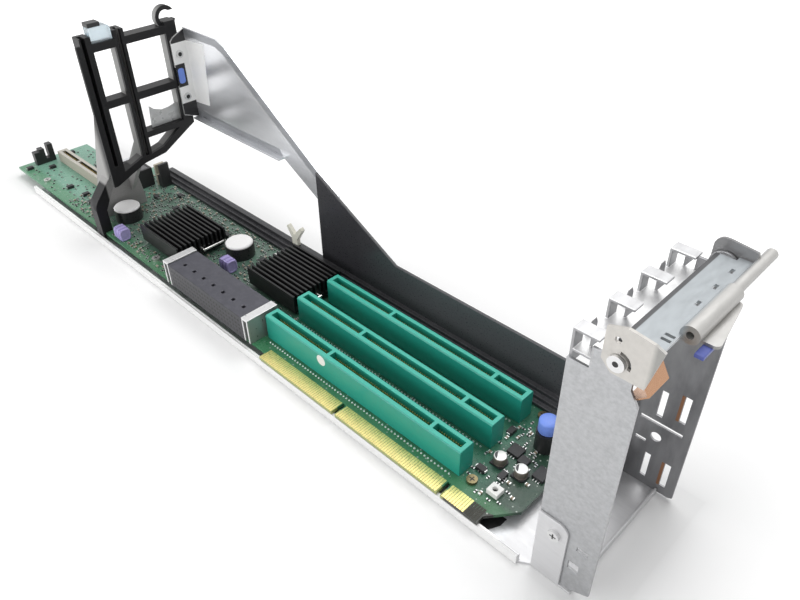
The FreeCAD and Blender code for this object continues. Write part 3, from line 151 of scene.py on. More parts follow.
# grain that every finish shares: stretched noise that shifts tone and gloss
def buildGrain():
    tree, given, made = shaderGroup(
        "finishGrain", {"Colour": midGrey, "Tone": 0.1, "Rough": 0.4, "Rough Shift": 0.1, "Scale": 900.0,
                        "Stretch": (1, 1, 1)}, {"Colour": "Color", "Roughness": "Float", "Height": "Float"})
    stretched = vectorNode(tree, "MULTIPLY", objectPlace(tree), given["Stretch"])
    grain = noiseNode(tree, stretched, given["Scale"], 5.0, 0.6)

    def spread(middle, reach):
        low, high = (mathNode(tree, operation, middle, reach) for operation in ("SUBTRACT", "ADD"))
        return rangeNode(tree, grain, 0.3, 0.7, low, high)

    toned = addNode(tree, "ShaderNodeHueSaturation", {
        "Value": spread(1.0, given["Tone"]), "Color": given["Colour"]})
    feedAll(tree, made, {"Colour": toned.outputs[0], "Height": grain,
                         "Roughness": spread(given["Rough"], given["Rough Shift"])})
    return tree


# thin dust and scuffs on faces that look up
def buildDust():
    tree, given, made = shaderGroup(
        "lightDust", {"Colour": midGrey, "Dust": (0.6, 0.6, 0.58, 1), "Amount": 0.1, "Scale": 260.0},
        {"Colour": "Color"})
    specks = noiseNode(tree, objectPlace(tree), given["Scale"], 6.0, 0.7)
    patches = rangeNode(tree, specks, 0.45, 0.7, 0.0, 1.0)
    upward = rangeNode(tree, upShare(tree), 0.2, 1.0, 0.15, 1.0)
    mask = mathNode(tree, "MULTIPLY", mathNode(tree, "MULTIPLY", patches, upward), given["Amount"], True)
    feed(tree, made["Colour"], mixColour(tree, mask, given["Colour"], given["Dust"]))
    return tree


# a second colour beyond a level along one direction, on all faces or on those that look one way
def buildZone():
    tree, given, made = shaderGroup(
        "zoneTint", {"Colour": midGrey, "Zone Colour": midGrey, "Direction": (1, 0, 0), "Level": 0.0,
                     "Fade": 0.001, "Strength": 1.0, "Facing": (0, 0, 0), "Facing Share": 0.0},
        {"Colour": "Color"})
    along = vectorNode(tree, "DOT_PRODUCT", objectPlace(tree), given["Direction"])
    past = mathNode(tree, "SUBTRACT", along, given["Level"])
    mask = mathNode(tree, "ADD", mathNode(tree, "DIVIDE", past, given["Fade"]), 0.5, True)
    mask = mathNode(tree, "MULTIPLY", mask, given["Strength"], True)
    turned = vectorNode(tree, "DOT_PRODUCT", surfaceNormal(tree), given["Facing"])
    away = mathNode(tree, "SUBTRACT", 1.0, turned, True)
    kept = mathNode(tree, "SUBTRACT", 1.0, mathNode(tree, "MULTIPLY", away, given["Facing Share"]), True)
    mask = mathNode(tree, "MULTIPLY", mask, kept, True)
    feed(tree, made["Colour"], mixColour(tree, mask, given["Colour"], given["Zone Colour"]))
    return tree


grainGroup = buildGrain()
dustGroup = buildDust()
zoneGroup = buildZone()


def placeGroup(tree, group, values):
    return addNode(tree, "ShaderNodeGroup", values, node_tree=group).outputs


material = {}


# a new material, worn by the named CAD nodes
def startMaterial(name, wearers=""):
    made = material[name] = bpy.data.materials.new(name)
    made.use_nodes = True
    for node in wearers.split():
        nodes[node].data.materials.clear()
        nodes[node].data.materials.append(made)
    tree = made.node_tree
    return tree, next(item for item in tree.nodes if item.type == "BSDF_PRINCIPLED")


def bumpInto(tree, shader, height, strength, distance):
    bump = addNode(tree, "ShaderNodeBump", {"Strength": strength, "Distance": distance, "Height": height})
    feed(tree, shader.inputs["Normal"], bump.outputs[0])


# levels and fades of zones are in millimetres
def zone(colour, towards, beyond, fade=0.4, strength=1.0, facing=None):
    return {"Zone Colour": (*colour, 1), "Direction": towards, "Level": beyond * mm, "Fade": fade * mm,
            "Strength": strength, "Facing": facing or (0, 0, 0), "Facing Share": 1.0 if facing else 0.0}


def tintZones(tree, colour, zones):
    for values in zones:
        colour = placeGroup(tree, zoneGroup, {"Colour": colour, **values})["Colour"]
    return colour


finishBump = 0.00008  # depth of the grain, metres


def makeFinish(name, colour, rough, scale, on="", metal=0.0, tone=0.08, roughShift=0.08, stretch=(1, 1, 1),
               bump=0.15, gloss=0.5, clear=0.0, ior=1.5, dust=0.0, dustColour=(0.55, 0.55, 0.53), zones=()):
    tree, shader = startMaterial(name, on)
    grain = placeGroup(tree, grainGroup, {
        "Colour": tintZones(tree, (*colour, 1), zones), "Tone": tone, "Rough": rough,
        "Rough Shift": roughShift, "Scale": scale, "Stretch": stretch})
    dusty = placeGroup(tree, dustGroup, {
        "Colour": grain["Colour"], "Amount": dust, "Dust": (*dustColour, 1)})
    feedAll(tree, shader.inputs, {
        "Base Color": dusty["Colour"], "Roughness": grain["Roughness"], "Metallic": metal,
        "Specular IOR Level": gloss, "Transmission Weight": clear, "IOR": ior})
    bumpInto(tree, shader, grain["Height"], bump, finishBump)


# which way a zone lies
left, right, front, rear, up, down = (-1, 0, 0), (1, 0, 0), (0, -1, 0), (0, 1, 0), (0, 0, 1), (0, 0, -1)
socketLow, socketHigh = corner["memory_socket"]
canTop = corner["small_capacitors"][1][2]

finishes = {
    # tray: the front lip is painted near white as a painted highlight, and the tab at the right is painted
    # darker as painted shade
    "traySteel": dict(
        on="tray", colour=(0.70, 0.71, 0.73), metal=0.4, rough=0.38, scale=260, stretch=(0.4, 3, 3), tone=0.04,
        dust=0.03,
        zones=[zone((0.97, 0.97, 0.965), front, 35.8), zone((0.64, 0.64, 0.65), right, 196.0, 2.0)]),
    "bracketSteel": dict(
        on="bracket_front_wall", colour=(0.44, 0.445, 0.455), metal=0.7, rough=0.42, scale=700,
        stretch=(1, 1, 1.2), tone=0.13, roughShift=0.12, bump=0.25, dust=0.03),
    # shelf: faces looking front and right are painted darker as painted shade, and faces looking up are painted
    # near white as a painted highlight, back to grey on the plate's very top
    "shelfSteel": dict(
        on="slot_plate", colour=(0.68, 0.68, 0.69), metal=0.5, rough=0.36, scale=420, stretch=(1, 0.4, 1),
        dust=0.03,
        zones=[zone((0.36, 0.36, 0.37), up, 0.0, facing=front), zone((0.28, 0.28, 0.29), up, 0.0, facing=right),
               zone((0.98, 0.98, 0.98), up, 60.0, facing=up),
               zone((0.70, 0.70, 0.71), up, corner["slot_plate"][1][2] - 1.5, facing=up)]),
    # painted shade: the rear plate is a darker copy of the bracket steel
    "rearPlateSteel": dict(
        on="bracket_rear_wall", colour=(0.31, 0.31, 0.32), metal=0.7, rough=0.4, scale=300, stretch=(1, 1, 0.3),
        tone=0.12, dust=0.02),
    # stay: the ear at the left edge is painted near white as a painted highlight, and faces looking rear are
    # painted darker as painted shade
    "staySteel": dict(
        on="stay", colour=(0.80, 0.81, 0.835), metal=0.7, rough=0.25, scale=160, stretch=(0.3, 3, 2), tone=0.04,
        roughShift=0.02, bump=0.0,
        zones=[zone((0.93, 0.93, 0.92), left, -corner["stay"][0][0] - 1.1),
               zone((0.50, 0.51, 0.53), rear, 0.0, facing=rear)]),
    # painted shade: a darker steel for the folds of the stay
    "foldSteel": dict(
        colour=(0.36, 0.37, 0.39), metal=0.6, rough=0.34, scale=160, stretch=(0.3, 3, 2), tone=0.04, bump=0.0),
    # painted highlight: a lighter white for the tray lip
    "lipWhite": dict(colour=(0.84, 0.84, 0.835), rough=0.42, scale=400, tone=0.02),
    # painted highlight: a white for the stay's flange and ear
    "flangeWhite": dict(colour=(0.96, 0.96, 0.955), rough=0.42, scale=400, tone=0.02),
    # latch: a dark line along the web's left edge and a darker rear part are painted shade; the rolled edge at
    # the right is painted darker, and lighter on faces looking up, as painted shade and highlight
    "latchSteel": dict(
        on="retention_latch", colour=(0.42, 0.45, 0.47), metal=0.5, rough=0.36, scale=500, stretch=(1, 0.3, 1),
        tone=0.05, dust=0.02,
        zones=[zone((0.10, 0.10, 0.105), left, -corner["retention_latch"][0][0] - 3.7, 0.3),
               zone((0.56, 0.54, 0.51), front, 31.5), zone((0.26, 0.26, 0.265), rear, 29.0),
               zone((0.33, 0.325, 0.31), right, 235.0, 1.5),
               zone((0.62, 0.61, 0.59), right, 235.0, 1.5, facing=up)]),
    "screwSteel": dict(
        on="standoffs tab_screw stay_screws latch_pivots", colour=(0.70, 0.70, 0.70), metal=0.9, rough=0.32,
        scale=600, tone=0.04, bump=0.05),
    "boardScrewSteel": dict(
        on="board_screws", colour=(0.62, 0.62, 0.60), metal=0.9, rough=0.32, scale=600, tone=0.05, bump=0.05,
        zones=[zone((0.24, 0.20, 0.11), right, 150.0)]),
    "wireSteel": dict(
        on="heat_sink_clip_1 heat_sink_clip_2", colour=(0.86, 0.85, 0.82), metal=0.9, rough=0.25, scale=800,
        tone=0.03, bump=0.05),
    # guides: faces looking right are painted darker as painted shade
    "guideSteel": dict(
        on="backplane_guide_left backplane_guide_right", colour=(0.78, 0.78, 0.78), metal=0.6, rough=0.34,
        scale=500, tone=0.05, bump=0.05, dust=0.03, zones=[zone((0.38, 0.39, 0.385), up, 0.0, facing=right)]),
    "contactGold": dict(colour=(0.90, 0.72, 0.25), metal=0.55, rough=0.3, scale=500, tone=0.06, bump=0.05),
    # contact edge: its end beyond the last contact is painted near black as painted shade
    "edgeGold": dict(
        on="edge_contacts", colour=(0.96, 0.80, 0.32), metal=0.5, rough=0.3, scale=500, tone=0.05, bump=0.05,
        zones=[zone((0.55, 0.58, 0.20), rear, -33.6, 7.0, 0.85),
               zone((0.022, 0.022, 0.016), right, 179.2, 0.3)]),
    # slots: the top is painted lighter teal as a painted highlight
    "slotTeal": dict(
        on="slot_connector_1 slot_connector_2 slot_connector_3", colour=(0.016, 0.31, 0.238), rough=0.38,
        scale=700, tone=0.06, dust=0.04, dustColour=(0.3, 0.55, 0.48),
        zones=[zone((0.06, 0.47, 0.37), up, corner["slot_connector_1"][1][2] - 0.2, 0.2)]),
    "connectorGrey": dict(
        on="backplane_connector", colour=(0.066, 0.066, 0.082), rough=0.45, scale=900, tone=0.12, dust=0.12,
        dustColour=(0.26, 0.26, 0.30),
        zones=[zone((0.030, 0.030, 0.036), front, -corner["backplane_connector"][0][1] - 0.3, 0.2)]),
    "sinkBlack": dict(
        on="heat_sink_1 heat_sink_2", colour=(0.013, 0.013, 0.014), metal=0.3, rough=0.42, scale=500,
        stretch=(0.2, 3, 3), dust=0.05, dustColour=(0.16, 0.16, 0.17)),
    "chipBlack": dict(
        on="controller_1 controller_2 power_header small_chips", colour=(0.022, 0.022, 0.024), rough=0.5,
        scale=1800, dust=0.05, dustColour=(0.2, 0.2, 0.2)),
    "canSilver": dict(
        on="capacitor_can_1 capacitor_can_2", colour=(0.96, 0.955, 0.95), metal=0.05, rough=0.36, scale=900,
        tone=0.03, dust=0.02),
    "smallCanSteel": dict(
        on="small_capacitors", colour=(0.25, 0.215, 0.185), metal=0.45, rough=0.4, scale=700, tone=0.05,
        bump=0.05, zones=[zone((0.80, 0.81, 0.79), up, canTop - 0.25, 0.2)]),
    "sleeveBlack": dict(
        on="capacitor_sleeve_1 capacitor_sleeve_2", colour=(0.020, 0.020, 0.021), rough=0.32, scale=900,
        dust=0.02),
    "frameBlack": dict(
        on="edge_clip retainer_bar plunger_collar", colour=(0.017, 0.017, 0.018), rough=0.4, scale=1500,
        tone=0.12, bump=0.2, dust=0.10, dustColour=(0.2, 0.2, 0.21)),
    # guide frame: faces looking front and the left part with its gussets are painted grey as painted
    # highlights; the parts furthest to the front are painted back to black
    "guideBlack": dict(
        on="guide_frame", colour=(0.014, 0.014, 0.015), rough=0.38, gloss=0.22, scale=1500, tone=0.12, bump=0.2,
        dust=0.03, dustColour=(0.2, 0.2, 0.21),
        zones=[zone((0.36, 0.36, 0.355), left, 104.4, 0.8, facing=front),
               zone((0.014, 0.014, 0.015), front, 12.0, 1.0), zone((0.37, 0.365, 0.36), left, 114.0, 6.0),
               zone((0.014, 0.014, 0.015), front, 26.0, 1.0)]),
    # rear wall: painted lighter towards the right as a painted sheen; its dust amount also stands partly for
    # that sheen
    "wallBlack": dict(
        on="rear_wall", colour=(0.028, 0.028, 0.032), rough=0.32, scale=1300, tone=0.12, bump=0.2, dust=0.16,
        dustColour=(0.2, 0.2, 0.21), zones=[zone((0.066, 0.066, 0.072), right, 70.0, 60.0)]),
    "padBlue": dict(
        on="latch_touch_pad", colour=(0.09, 0.12, 0.42), rough=0.45, scale=1200, tone=0.05, dust=0.03),
    "touchBlue": dict(
        on="frame_touch_pad plunger_knob", colour=(0.18, 0.30, 0.82), rough=0.45, scale=1200, tone=0.05,
        dust=0.03),
    # memory socket: the groove's floor and far wall are painted near black as painted shade, and the top is
    # painted lighter as a painted highlight
    "socketIvory": dict(
        on="memory_socket", colour=(0.42, 0.39, 0.33), rough=0.5, scale=900, dust=0.05,
        zones=[zone((0.03, 0.03, 0.028), down, 0.6 - socketHigh[2], facing=up),
               zone((0.03, 0.03, 0.028), rear, (socketLow[1] + socketHigh[1]) / 2, facing=front),
               zone((0.50, 0.48, 0.43), up, socketHigh[2] - 0.2, 0.2)]),
    "clipIvory": dict(on="cable_clip", colour=(0.72, 0.71, 0.62), rough=0.45, scale=900, dust=0.03),
    "jumperWhite": dict(on="jumper_block", colour=(0.84, 0.84, 0.82), rough=0.45, scale=900, dust=0.02),
    "railClip": dict(
        on="rail_clip", colour=(0.020, 0.020, 0.021), rough=0.42, scale=1300, dust=0.06,
        zones=[zone((0.46, 0.42, 0.33), left, -corner["rail_clip"][0][0] - 2.6)]),
    "springBronze": dict(
        on="ground_spring", colour=(0.44, 0.25, 0.15), metal=1.0, rough=0.24, scale=500, tone=0.06, bump=0.05),
    "stripBronze": dict(colour=(0.40, 0.20, 0.11), metal=0.6, rough=0.36, scale=500, tone=0.06),
    "plugGrey": dict(
        colour=(0.125, 0.122, 0.130), rough=0.45, scale=900, dust=0.04, dustColour=(0.26, 0.26, 0.28)),
    "solderTin": dict(
        colour=(0.84, 0.85, 0.85), metal=0.6, rough=0.32, scale=2500, bump=0.05,
        zones=[zone((0.46, 0.50, 0.47), left, 0.0, 20.0)]),
    "resistorBlack": dict(colour=(0.03, 0.03, 0.033), rough=0.4, scale=2500),
    "ceramicTan": dict(colour=(0.30, 0.24, 0.17), rough=0.4, scale=2500),
    "labelWhite": dict(colour=(0.80, 0.80, 0.78), rough=0.5, scale=1500, tone=0.03, dust=0.02),
    # painted shade: the black of the dark plates in recesses and cells
    "markBlack": dict(colour=(0.012, 0.012, 0.012), rough=0.5, scale=1500),
    "canMark": dict(colour=(0.06, 0.06, 0.065), rough=0.5, scale=1500),
    "flapClear": dict(
        colour=(0.62, 0.63, 0.63), rough=0.3, scale=90, clear=0.3, ior=1.46, tone=0.1, bump=0.0),
    "retainerClear": dict(
        on="card_retainer", colour=(0.80, 0.91, 0.97), rough=0.16, scale=700, clear=0.6, ior=1.46, tone=0.02),
}
for name, look in finishes.items():
    makeFinish(name, **look)

# solder mask over copper: runs of track, plated holes and filled areas
boardLook = {
    "mask": (0.024, 0.106, 0.066), "track": (0.045, 0.20, 0.12), "fill": (0.032, 0.14, 0.085),
    "pad": (0.40, 0.46, 0.41), "trackScale": 130.0, "runScale": 42.0, "holeScale": 330.0, "fillScale": 55.0,
    "runs": ((0.0, 1.0), (45.0, 1.6), (90.0, 1.3)), "rough": 0.3, "roughShift": 0.06, "grain": 500.0,
    "bump": 0.35, "bumpDepth": 0.00006, "dust": 0.10, "dustColour": (0.25, 0.36, 0.3),
    "zones": [zone((0.15, 0.18, 0.155), left, -34.0, 10.0, 0.5),
              zone((0.22, 0.45, 0.34), left, 152.0, 60.0, 0.75),
              # painted shade: the right end of the board, by the bracket, is painted darker
              zone((0.014, 0.042, 0.024), right, 177.0, 14.0, 0.9),
              zone((0.05, 0.21, 0.08), front, 25.5, 4.0, 0.6),
              zone((0.42, 0.42, 0.12), front, 34.3, 0.4, 0.75),
              zone((0.02, 0.022, 0.016), (0.34, -0.94, 0), 93.0, 0.3)]}


def makeBoardFinish(look):
    tree, shader = startMaterial("boardGreen", "circuit_board")
    place = objectPlace(tree)
    fill = rangeNode(tree, noiseNode(tree, place, look["fillScale"], 2.0), 0.47, 0.5, 0.0, 1.0)
    colour = mixColour(tree, fill, look["mask"], look["fill"])
    height = None
    for turn, stretch in look["runs"]:
        turned = addNode(tree, "ShaderNodeMapping", {"Vector": place, "Rotation": (0, 0, math.radians(turn))})
        bricks = addNode(tree, "ShaderNodeTexBrick", {
            "Vector": turned.outputs[0], "Scale": look["trackScale"] * stretch, "Mortar Size": 0.018,
            "Mortar Smooth": 0.1, "Bias": 0.0, "Brick Width": 1.7, "Row Height": 0.1}, offset=0.37, squash=1.0)
        where = noiseNode(tree, place, look["runScale"] * stretch + turn, 1.0)
        where = rangeNode(tree, where, 0.5, 0.53, 0.0, 1.0)
        runs = mathNode(tree, "MULTIPLY", bricks.outputs["Fac"], where, True)
        colour = mixColour(tree, runs, colour, look["track"])
        height = mathNode(tree, "ADD", height, runs) if height else runs
    colour = tintZones(tree, colour, look["zones"])
    holes = addNode(tree, "ShaderNodeTexVoronoi", {
        "Vector": place, "Scale": look["holeScale"], "Randomness": 0.75})
    dots = rangeNode(tree, holes.outputs["Distance"], 0.10, 0.15, 1.0, 0.0)
    dots = mathNode(tree, "MULTIPLY", dots, rangeNode(tree, upShare(tree), 0.5, 0.9, 0.0, 1.0), True)
    dusty = placeGroup(tree, dustGroup, {"Colour": mixColour(tree, dots, colour, look["pad"]),
                                         "Amount": look["dust"], "Dust": (*look["dustColour"], 1)})
    grain = placeGroup(tree, grainGroup, {
        "Rough": look["rough"], "Rough Shift": look["roughShift"], "Scale": look["grain"]})
    feedAll(tree, shader.inputs, {"Base Color": dusty["Colour"], "Roughness": grain["Roughness"]})
    bumpInto(tree, shader, height, look["bump"], look["bumpDepth"])


# wound chokes: lacquered wire shows as close ridges; the darker gap colour between them is painted shade
chokeLook = {"colour": (0.41, 0.36, 0.66), "gap": (0.26, 0.21, 0.47), "turns": 95.0, "rough": 0.4, "bump": 0.5,
             "bumpDepth": 0.0003}


def makeChokeFinish(look):
    tree, shader = startMaterial("chokePurple", "choke_1 choke_2")
    ridges = addNode(tree, "ShaderNodeTexWave", {
        "Vector": objectPlace(tree), "Scale": look["turns"], "Distortion": 1.2, "Detail": 1.0},
        bands_direction="X").outputs["Fac"]
    colour = mixColour(tree, rangeNode(tree, ridges, 0.1, 0.6, 0.0, 1.0), look["gap"], look["colour"])
    grain = placeGroup(tree, grainGroup, {"Colour": colour, "Rough": look["rough"]})
    feedAll(tree, shader.inputs, {"Base Color": grain["Colour"], "Roughness": grain["Roughness"]})
    bumpInto(tree, shader, ridges, look["bump"], look["bumpDepth"])


makeBoardFinish(boardLook)
makeChokeFinish(chokeLook)
print("finishes made:", len(material))

# small rounds on moulded and folded edges catch the light, by width in millimetres
edgeRounds = {
    0.12: "small_chips",
    0.2: "bracket_front_wall bracket_rear_wall slot_plate stay backplane_guide_left backplane_guide_right",
    0.25: "slot_connector_1 slot_connector_2 slot_connector_3 power_header memory_socket tray edge_clip "
          "rail_clip",
    0.3: "rear_wall backplane_connector retainer_bar cable_clip jumper_block latch_touch_pad frame_touch_pad",
    0.35: "guide_frame card_retainer",
}
meetGap = 0.002 * mm


def roundEdges(modifiers, width):
    setAll(modifiers.new("meet", "WELD"), merge_threshold=meetGap)
    setAll(modifiers.new("flat", "DECIMATE"), decimate_type="DISSOLVE", angle_limit=math.radians(1.0))
    setAll(modifiers.new("round", "BEVEL"), width=width * mm, segments=2, limit_method="ANGLE",
           angle_limit=math.radians(40), use_clamp_overlap=True, harden_normals=False)


for width, names in edgeRounds.items():
    for name in names.split():
        roundEdges(nodes[name].modifiers, width)
print("CAD nodes dressed")


# geometry nodes helpers

def geometryTree(name, inputs, takesMesh=False):
    tree = bpy.data.node_groups.new(name, "GeometryNodeTree")
    if takesMesh:
        tree.interface.new_socket(name="Base", in_out="INPUT", socket_type="NodeSocketGeometry")
    for title, kind in inputs.items():
        tree.interface.new_socket(name=title, in_out="INPUT", socket_type="NodeSocket" + kind)
    tree.interface.new_socket(name="Geometry", in_out="OUTPUT", socket_type="NodeSocketGeometry")
    return tree, addNode(tree, "NodeGroupInput").outputs, addNode(tree, "NodeGroupOutput").inputs


def blockOf(tree, size):
    return addNode(tree, "GeometryNodeMeshCube", {"Size": size}).outputs["Mesh"]


def setOn(tree, points, shape, **more):
    values = {"Points": points, "Instance": shape, **more}
    return addNode(tree, "GeometryNodeInstanceOnPoints", values).outputs[0]


def moveBy(tree, shape, way):
    return addNode(tree, "GeometryNodeTransform", {"Geometry": shape, "Translation": way}).outputs[0]


def endTree(tree, target, shape, paint):
    real = addNode(tree, "GeometryNodeRealizeInstances", {0: shape})
    painted = addNode(tree, "GeometryNodeSetMaterial", {"Geometry": real.outputs[0], "Material": paint})
    feed(tree, target, painted.outputs[0])


def addObject(name, data):
    made = bpy.data.objects.new(name, data)
    scene.collection.objects.link(made)
    return made


def growPiece(name, tree, values, base=None):
    grown = addObject(name + "Base", base or bpy.data.meshes.new(name + "Base"))
    modifier = grown.modifiers.new("grow", "NODES")
    modifier.node_group = tree
    for item in tree.interface.items_tree:
        if item.item_type == "SOCKET" and item.in_out == "INPUT" and item.name in values:
            modifier[item.identifier] = values[item.name]
    bpy.context.view_layer.update()
    shape = grown.evaluated_get(bpy.context.evaluated_depsgraph_get())
    plain = bpy.data.meshes.new_from_object(shape)
    plain.name = name
    bpy.data.objects.remove(grown)
    piece = addObject(name, plain)
    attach(piece, "card")
    print("grown:", name, len(plain.polygons), "faces")
    return piece


def meshFrom(name, work):
    mesh = bpy.data.meshes.new(name)
    work.to_mesh(mesh)
    work.free()
    return mesh


def inMetres(size):
    return [value * mm for value in size]


# a grid of pins: round ones stand on the centre's level, square ones lie about it
def buildPinGrid(isRound):
    tree, given, made = geometryTree("pinGridRound" if isRound else "pinGridSquare", {
        "Columns": "Int", "Rows": "Int", "Length": "Float", "Depth": "Float", "Centre": "Vector",
        "Pin": "Vector", "Material": "Material"})
    grid = addNode(tree, "GeometryNodeMeshGrid", {
        "Size X": given["Length"], "Size Y": given["Depth"], "Vertices X": given["Columns"],
        "Vertices Y": given["Rows"]})
    if isRound:
        size = addNode(tree, "ShaderNodeSeparateXYZ", {0: given["Pin"]}).outputs
        pin = addNode(tree, "GeometryNodeMeshCone", {
            "Vertices": 8, "Radius Bottom": size["X"], "Radius Top": size["Y"], "Depth": size["Z"]},
            fill_type="NGON").outputs["Mesh"]
    else:
        pin = blockOf(tree, given["Pin"])
    moved = moveBy(tree, setOn(tree, grid.outputs["Mesh"], pin), given["Centre"])
    endTree(tree, made[0], moved, given["Material"])
    return tree


squarePins = buildPinGrid(False)
roundPins = buildPinGrid(True)
boardLow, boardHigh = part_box("circuit_board")
boardTop = boardHigh.z

# solder joints of the slots, in a row along each long side
slotPins = {"perRow": 62, "margin": 4.0, "offset": 1.7, "footTipRise": (0.52, 0.34, 0.4), "sunk": 0.02}
# gold springs inside the slot grooves and in the memory socket
slotSprings = {"perRow": 92, "margin": 4.6, "apart": 3.2, "size": (0.65, 0.3, 4.2), "below": 3.8}
socketSprings = {"perRow": 62, "margin": 2.6, "apart": 1.2, "size": (0.5, 0.28, 1.6), "below": 1.6}


def growPins(name, tree, counts, span, centre, pin, paint):
    growPiece(name, tree, {
        "Columns": counts[0], "Rows": counts[1], "Length": span[0], "Depth": span[1], "Centre": centre,
        "Pin": inMetres(pin), "Material": material[paint]})


def makeSlotPins(number, node):
    low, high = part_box(node)
    offset, margin, sunk = (slotPins[part] * mm for part in ("offset", "margin", "sunk"))
    for title, y in (("Front", low.y - offset), ("Back", high.y + offset)):
        growPins("slotPins%d%s" % (number, title), roundPins, (slotPins["perRow"], 1),
                 (high.x - low.x - 2 * margin, 0.0), ((low.x + high.x) / 2, y, boardTop - sunk),
                 slotPins["footTipRise"], "solderTin")


def makeSprings(name, node, look):
    low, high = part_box(node)
    middle = (low + high) / 2
    span = (high.x - low.x - 2 * look["margin"] * mm, look["apart"] * mm)
    level = high.z - look["below"] * mm - look["size"][2] * mm / 2
    growPins(name, squarePins, (look["perRow"], 2), span, (middle.x, middle.y, level), look["size"],
             "contactGold")


slotNames = ["slot_connector_%d" % number for number in (1, 2, 3)]
for number, node in enumerate(slotNames, 1):
    makeSlotPins(number, node)
    makeSprings("slotSprings%d" % number, node, slotSprings)
makeSprings("socketSprings", "memory_socket", socketSprings)


# small parts strewn over the free board: a body between two tinned ends
def buildScatter():
    tree, given, made = geometryTree("strewnParts", {
        "Taken": "Object", "Spacing": "Float", "Density": "Float", "Seed": "Int", "Margin": "Float",
        "Body": "Vector", "End": "Vector", "Reach": "Float", "Body Material": "Material",
        "End Material": "Material"}, takesMesh=True)
    strewn = addNode(tree, "GeometryNodeDistributePointsOnFaces", {
        "Mesh": given["Base"], "Distance Min": given["Spacing"], "Density Max": given["Density"],
        "Seed": given["Seed"]}, distribute_method="POISSON")
    taken = addNode(tree, "GeometryNodeObjectInfo", {"Object": given["Taken"]})
    near = addNode(tree, "GeometryNodeProximity", {0: taken.outputs["Geometry"]}, target_element="FACES")
    close = addNode(tree, "FunctionNodeCompare", {0: near.outputs["Distance"], 1: given["Margin"]},
                    data_type="FLOAT", operation="LESS_THAN")
    kept = addNode(tree, "GeometryNodeDeleteGeometry", {
        "Geometry": strewn.outputs["Points"], "Selection": close.outputs[0]}, domain="POINT")
    quarter = addNode(tree, "FunctionNodeRandomValue", {4: 0, 5: 1, "Seed": given["Seed"]}, data_type="INT")
    turn = vectorOf(tree, Z=mathNode(tree, "MULTIPLY", quarter.outputs[2], math.pi / 2))
    ahead = vectorOf(tree, X=given["Reach"])
    back = vectorNode(tree, "MULTIPLY", ahead, (-1, -1, -1))
    ends = addNode(tree, "GeometryNodeJoinGeometry")
    for way in (ahead, back):
        feed(tree, ends.inputs[0], moveBy(tree, blockOf(tree, given["End"]), way))
    both = addNode(tree, "GeometryNodeJoinGeometry")
    for shape, paint in ((blockOf(tree, given["Body"]), "Body Material"), (ends.outputs[0], "End Material")):
        endTree(tree, both.inputs[0], setOn(tree, kept.outputs[0], shape, Rotation=turn), given[paint])
    feed(tree, made["Geometry"], both.outputs[0])
    return tree


def rectanglesMesh(name, rectangles, z):
    mesh = bpy.data.meshes.new(name)
    points = [(x, y, z) for x0, y0, x1, y1 in rectangles
              for x, y in ((x0, y0), (x1, y0), (x1, y1), (x0, y1))]
    mesh.from_pydata(points, [], [list(range(first, first + 4)) for first in range(0, len(points), 4)])
    return mesh


# footprint of each loose solid in a node
def looseParts(name):
    work = bmesh.new()
    work.from_mesh(nodes[name].data)
    bmesh.ops.remove_doubles(work, verts=work.verts, dist=meetGap)
    spots, seen = [], set()
    for start in work.verts:
        if start in seen:
            continue
        group = [start]
        seen.add(start)
        for vert in group:  # the group grows while it is walked
            near = [edge.other_vert(vert) for edge in vert.link_edges]
            group += [other for other in near if other not in seen]
            seen.update(near)
        xs, ys = zip(*(vert.co.xy for vert in group))
        spots.append((min(xs), min(ys), max(xs), max(ys)))
    work.free()
    return spots


# what already stands on the board; the feet of the guide frame are given in metres from its left side
standing = slotNames + (
    "backplane_connector backplane_guide_left backplane_guide_right controller_1 controller_2 heat_sink_1 "
    "heat_sink_2 capacitor_sleeve_1 capacitor_sleeve_2 choke_1 choke_2 power_header memory_socket edge_clip "
    "rail_clip plunger_collar jumper_block edge_contacts").split()
rearFoot = {"to": 0.004, "rear": 0.006}
frontFoot = {"from": 0.008, "to": 0.022, "depth": 0.010}


def takenMesh():
    spots = [(low.x, low.y, high.x, high.y) for low, high in map(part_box, standing)]
    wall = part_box("rear_wall")
    spots.append((wall[0].x, wall[0].y, wall[1].x, boardHigh.y))
    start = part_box("guide_frame")[0].x
    spots.append((start, boardLow.y, start + rearFoot["to"], rearFoot["rear"]))
    spots.append((start + frontFoot["from"], boardLow.y, start + frontFoot["to"],
                  boardLow.y + frontFoot["depth"]))
    for name in ("board_screws", "small_capacitors", "small_chips"):
        spots += looseParts(name)
    return rectanglesMesh("taken", spots, boardTop)


# parts of the board, with bare margins in metres
bare = {"left": 0.004, "front": 0.006, "contacts": 0.011, "rail": 0.001, "right": 0.006}
tailRear = 0.0155
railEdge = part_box("rear_wall")[0].y - bare["rail"]
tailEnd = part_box("power_header")[0].x
slotStart, slotStop = (point.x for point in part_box("slot_connector_1"))
boardParts = {
    "tail": (boardLow.x + bare["left"], boardLow.y + bare["front"], tailEnd, tailRear),
    "middle": (tailEnd, boardLow.y + bare["front"], slotStart, railEdge),
    "slots": (slotStart, boardLow.y + bare["contacts"], slotStop, railEdge),
    "end": (slotStop, boardLow.y + bare["contacts"], boardHigh.x - bare["right"], railEdge),
}
takenObject = addObject("takenSpots", takenMesh())
takenObject.hide_render = True

